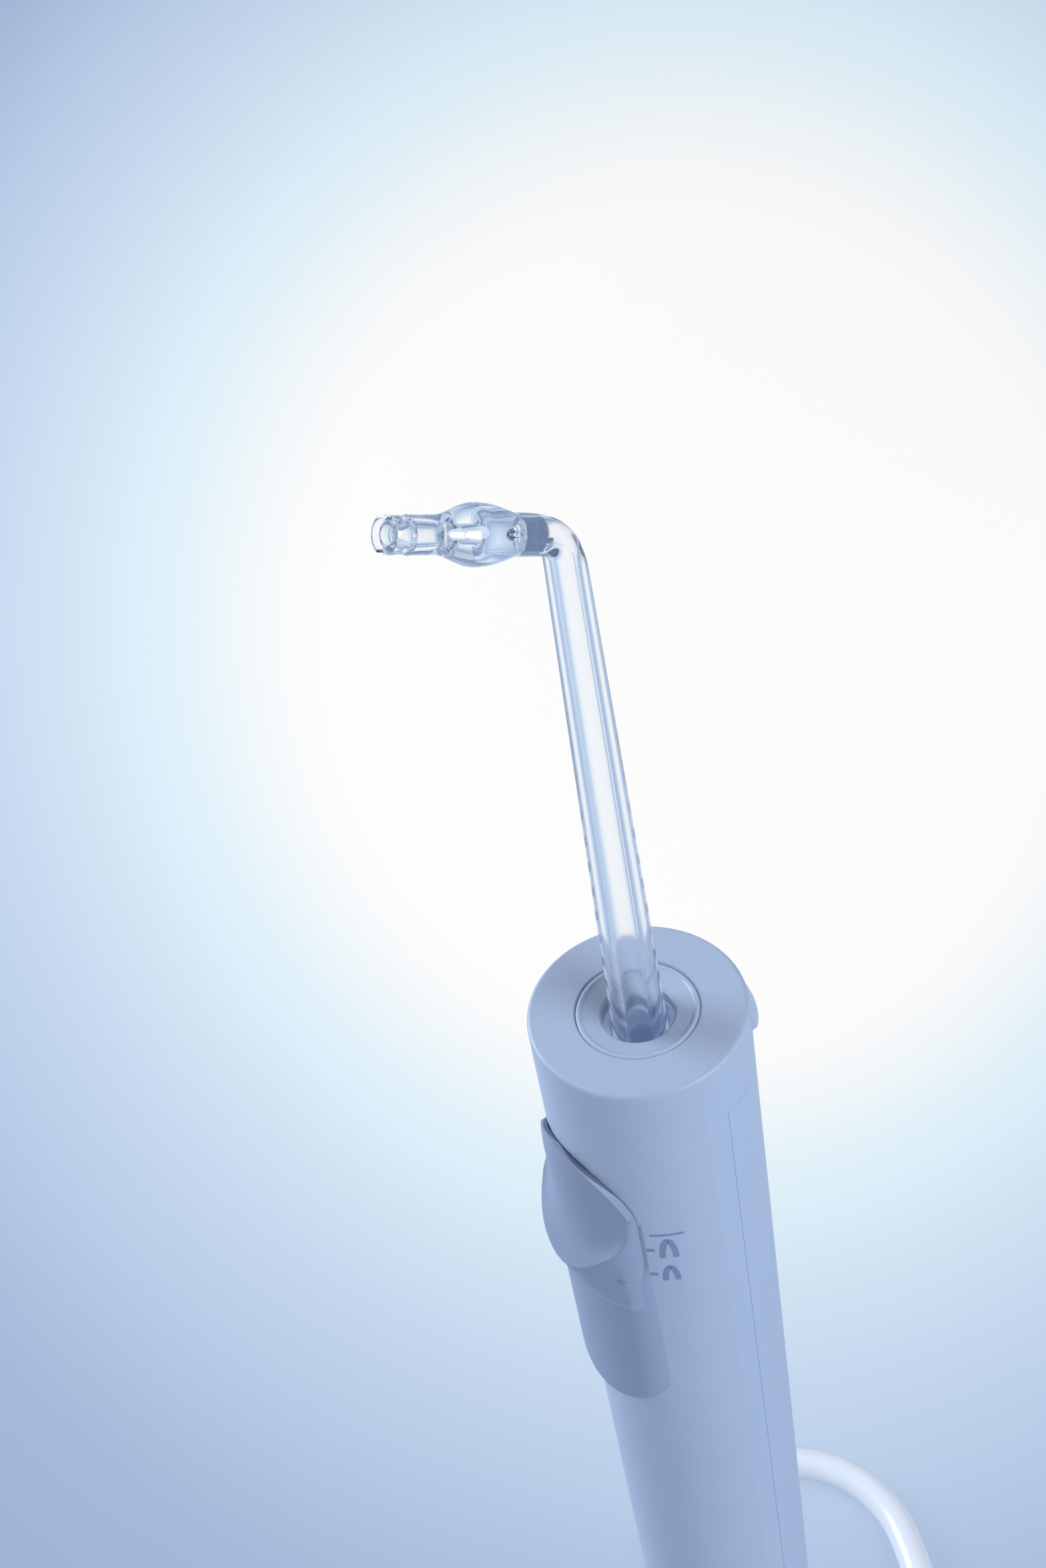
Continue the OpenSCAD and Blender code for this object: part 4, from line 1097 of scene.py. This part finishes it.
# Printed function marks beside the slide, and the index dot on its heel
marks = {
    "lift": 0.03,
    "sink": 0.05,
    "bars": [{"angle": 59.4, "depth": 29.1, "wide": 18.6, "tall": 0.4},
             {"angle": 49.1, "depth": 32.5, "wide": 4.6, "tall": 0.55},
             {"angle": 49.0, "depth": 38.0, "wide": 4.6, "tall": 0.55}],
    "arches": [{"angle": 59.0, "top": 30.4, "foot": 34.2, "spread": 3.7, "stroke": 0.8},
               {"angle": 58.4, "top": 36.4, "foot": 39.4, "spread": 3.5, "stroke": 0.8}],
    "archPower": 1.2,
    "steps": 20,
}
perDegree = math.radians(1) * topR / mm  # mm round the handle's top


def inkStroke(m, corners, faces, line, width):  # a flat stroke of ink along points of angle and depth
    flat = [Vector((angle * perDegree, depth)) for angle, depth in line]
    rings = []
    for k, here in enumerate(flat):
        way = (flat[min(k + 1, len(flat) - 1)] - flat[max(k - 1, 0)]).normalized()
        side = Vector((-way.y, way.x)) * width / 2
        rings.append([roundHandle(edge.x / perDegree, edge.y, lift) for edge, lift in (
            (here + side, m["lift"]), (here + side, -m["sink"]), (here - side, -m["sink"]),
            (here - side, m["lift"]))])
    addBar(corners, faces, rings)


def makeMarks(m):
    corners, faces = [], []
    shares = [k / m["steps"] for k in range(m["steps"] + 1)]
    for bar in m["bars"]:
        line = [(bar["angle"] + bar["wide"] * (share - 0.5), bar["depth"]) for share in shares]
        inkStroke(m, corners, faces, line, bar["tall"])
    for arch in m["arches"]:
        line = [(arch["angle"] - math.cos(math.pi * share) * arch["spread"],
                 between(arch["foot"], arch["top"], max(0.0, math.sin(math.pi * share)) ** m["archPower"]))
                for share in shares]
        inkStroke(m, corners, faces, line, arch["stroke"])
    addPiece("functionMarks", corners, faces, "housing", "markInk")


# Index dot: each ring has a share of its size, and a lift
index = {"angle": 34.0, "depth": 38.1, "size": 1.1, "over": 1.6, "steps": 24,
         "rings": [(1.0, -0.05), (1.0, 0.02), (0.8, 0.03), (0.02, 0.03)]}


def makeIndex(i):
    def overSlide(angle, depth, lift):
        x = (topR / mm + i["over"]) * math.sin(math.radians(angle))
        return onHandle(x, depth, slideTop(slide, x, depth) + lift)

    rings = [[overSlide(i["angle"] + math.cos(t) * share * i["size"] / 2 / perDegree,
                        i["depth"] + math.sin(t) * share * i["size"] / 2, lift) for t in fullTurn(i["steps"])]
             for share, lift in i["rings"]]
    corners, faces = skinRings(rings, True)
    addPiece("indexDot", corners, faces, "slide", "markInk")


makeMarks(marks)
makeIndex(index)
print("marks made")


# Release button: a rounded pad at the back, with the arm that reaches down to the wire clip
button = {
    "half": 7.9,
    "top": 1.05,
    "bottom": 5.55,
    "topRise": -0.1,
    "rise": 1.15,
    "under": -2.0,
    "swellEnd": 0.85,
    "swellPower": 0.9,
    "sideDrop": 0.35,
    "sidePower": 4,
    "footDrop": 0.18,
    "edge": 0.5,
    "edgeSteps": 5,
    "columns": 48,
    "rows": 24,
    "blocks": [(-4.0, 4.0, 8.94, 11.24, 4.9, 16.4), (-3.9, 3.9, 9.04, 12.4, 5.0, 5.5),
               (-7.2, 7.2, 8.94, 9.74, 10.0, 13.0)],  # left, right, front, back, upper, lower
    "wedge": [(-2.9, 6.7), (2.9, 6.7), (3.9, 9.04), (-3.9, 9.04)],
    "wedgeDepth": (14.5, 15.5),
}


def addBlock(corners, faces, outline, *depths):  # an outline seen from above, between two depths
    addBar(corners, faces, [[Vector((x * mm, y * mm, topZ - depth * mm)) for x, y in outline]
                            for depth in depths])


def makeButton(b):
    def spot(across, along):
        return b["half"] * across, between(b["top"], b["bottom"], along)

    def rise(x, depth):
        v = (depth - b["top"]) / (b["bottom"] - b["top"])
        swell = min(1.0, v / b["swellEnd"]) ** b["swellPower"]
        fall = max(0.0, (v - b["swellEnd"]) / (1 - b["swellEnd"]))
        side = 1 - b["sideDrop"] * (abs(x) / b["half"]) ** b["sidePower"]
        return between(b["topRise"], b["rise"], swell) * side - b["footDrop"] * fall ** 2

    corners, faces, _ = sheetSolid(b["columns"], b["rows"], spot, rise, lambda x, d: b["under"])
    corners = [Vector((c.x, -c.y, c.z)) for c in corners]
    for left, right, front, back, upper, lower in b["blocks"]:
        addBlock(corners, faces, [(left, front), (right, front), (right, back), (left, back)], upper, lower)
    addBlock(corners, faces, b["wedge"], *b["wedgeDepth"])
    piece = addPiece("releaseButton", corners, faces, "button", "shellPlastic",
                     ["release_button"], sharp=50)
    softenEdges(piece, b["edge"], b["edgeSteps"])


makeButton(button)


# Return springs of the button: two wound wires that shorten as it goes in
springs = {
    "x": 6.0,
    "depth": 11.5,
    "start": 3.8,
    "end": 8.64,
    "radius": 1.0,
    "wire": 0.2,
    "turns": 5,
    "steps": 24,
    "sides": 10,
    "seat": 3.55,
    "keep": 0.6,
}


def makeSprings(s):
    corners, faces = [], []
    last = s["turns"] * s["steps"]
    for side in (-1, 1):
        axis = Vector((side * s["x"] * mm, 0.0, topZ - s["depth"] * mm))
        line, outward = [], []
        for k in range(last + 1):
            turn = 2 * math.pi * k / s["steps"]
            outward.append(Vector((math.cos(turn), 0.0, math.sin(turn))))
            along = between(s["start"], s["end"], k / last) * mm
            line.append(axis + outward[k] * s["radius"] * mm + Vector((0.0, along, 0.0)))
        rings = []
        for k, here in enumerate(line):
            heading = (line[min(k + 1, last)] - line[max(k - 1, 0)]).normalized()
            beside = heading.cross(outward[k])
            rings.append([here + (outward[k] * math.cos(t) + beside * math.sin(t)) * s["wire"] * mm
                          for t in fullTurn(s["sides"])])
        addBar(corners, faces, rings)
    piece = addPiece("releaseSprings", corners, faces, "housing", "springSteel",
                     ["release_springs"])
    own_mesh(piece)


makeSprings(springs)


# Shallow floors of the seams round the rear cover and round the collar
seams = {"y": (3.18, 3.37), "upper": (9.97, 10.18), "sink": 0.05, "deep": 0.9, "bottom": 145.8, "rows": 12,
         "arcRows": 60, "ring": (8.11, 7.92), "ringSink": 0.12, "ringDeep": 1.2, "turns": 128}


def makeSeams(m):
    corners, faces = [], []

    def section(edges, sink, deep):  # the four corners of a floor's section
        return (edges[0], sink), (edges[1], sink), (edges[1], deep), (edges[0], deep)

    def sideSpot(sign, y, depth, sink):
        radius = handleRadius(depth) - sink * mm
        return Vector((sign * math.sqrt(radius ** 2 - (y * mm) ** 2), y * mm, topZ - depth * mm))

    for sign in (-1, 1):
        sides = section(m["y"], m["sink"], m["deep"])
        addBar(corners, faces, [[sideSpot(sign, y, depth, sink) for y, sink in sides]
                                for depth in np.linspace(m["upper"][0], m["bottom"], m["rows"])])
    edge = math.degrees(math.acos(-m["y"][0] / (topR / mm)))
    addBar(corners, faces, [[roundHandle(angle, depth, -sink)
                             for depth, sink in section(m["upper"], m["sink"], m["deep"])]
                            for angle in np.linspace(edge, 360 - edge, m["arcRows"])])
    base = len(corners)
    rings = [[polar(r, turn, topZ / mm - sink) for turn in fullTurn(m["turns"])]
             for r, sink in section(m["ring"], m["ringSink"], m["ringDeep"])]
    spots, quads = skinRings(rings, True)
    corners += spots
    faces += [tuple(base + c for c in quad) for quad in quads]
    addPiece("seamFloors", corners, faces, "housing", "shellPlastic")


makeSeams(seams)
print("button and seams made")
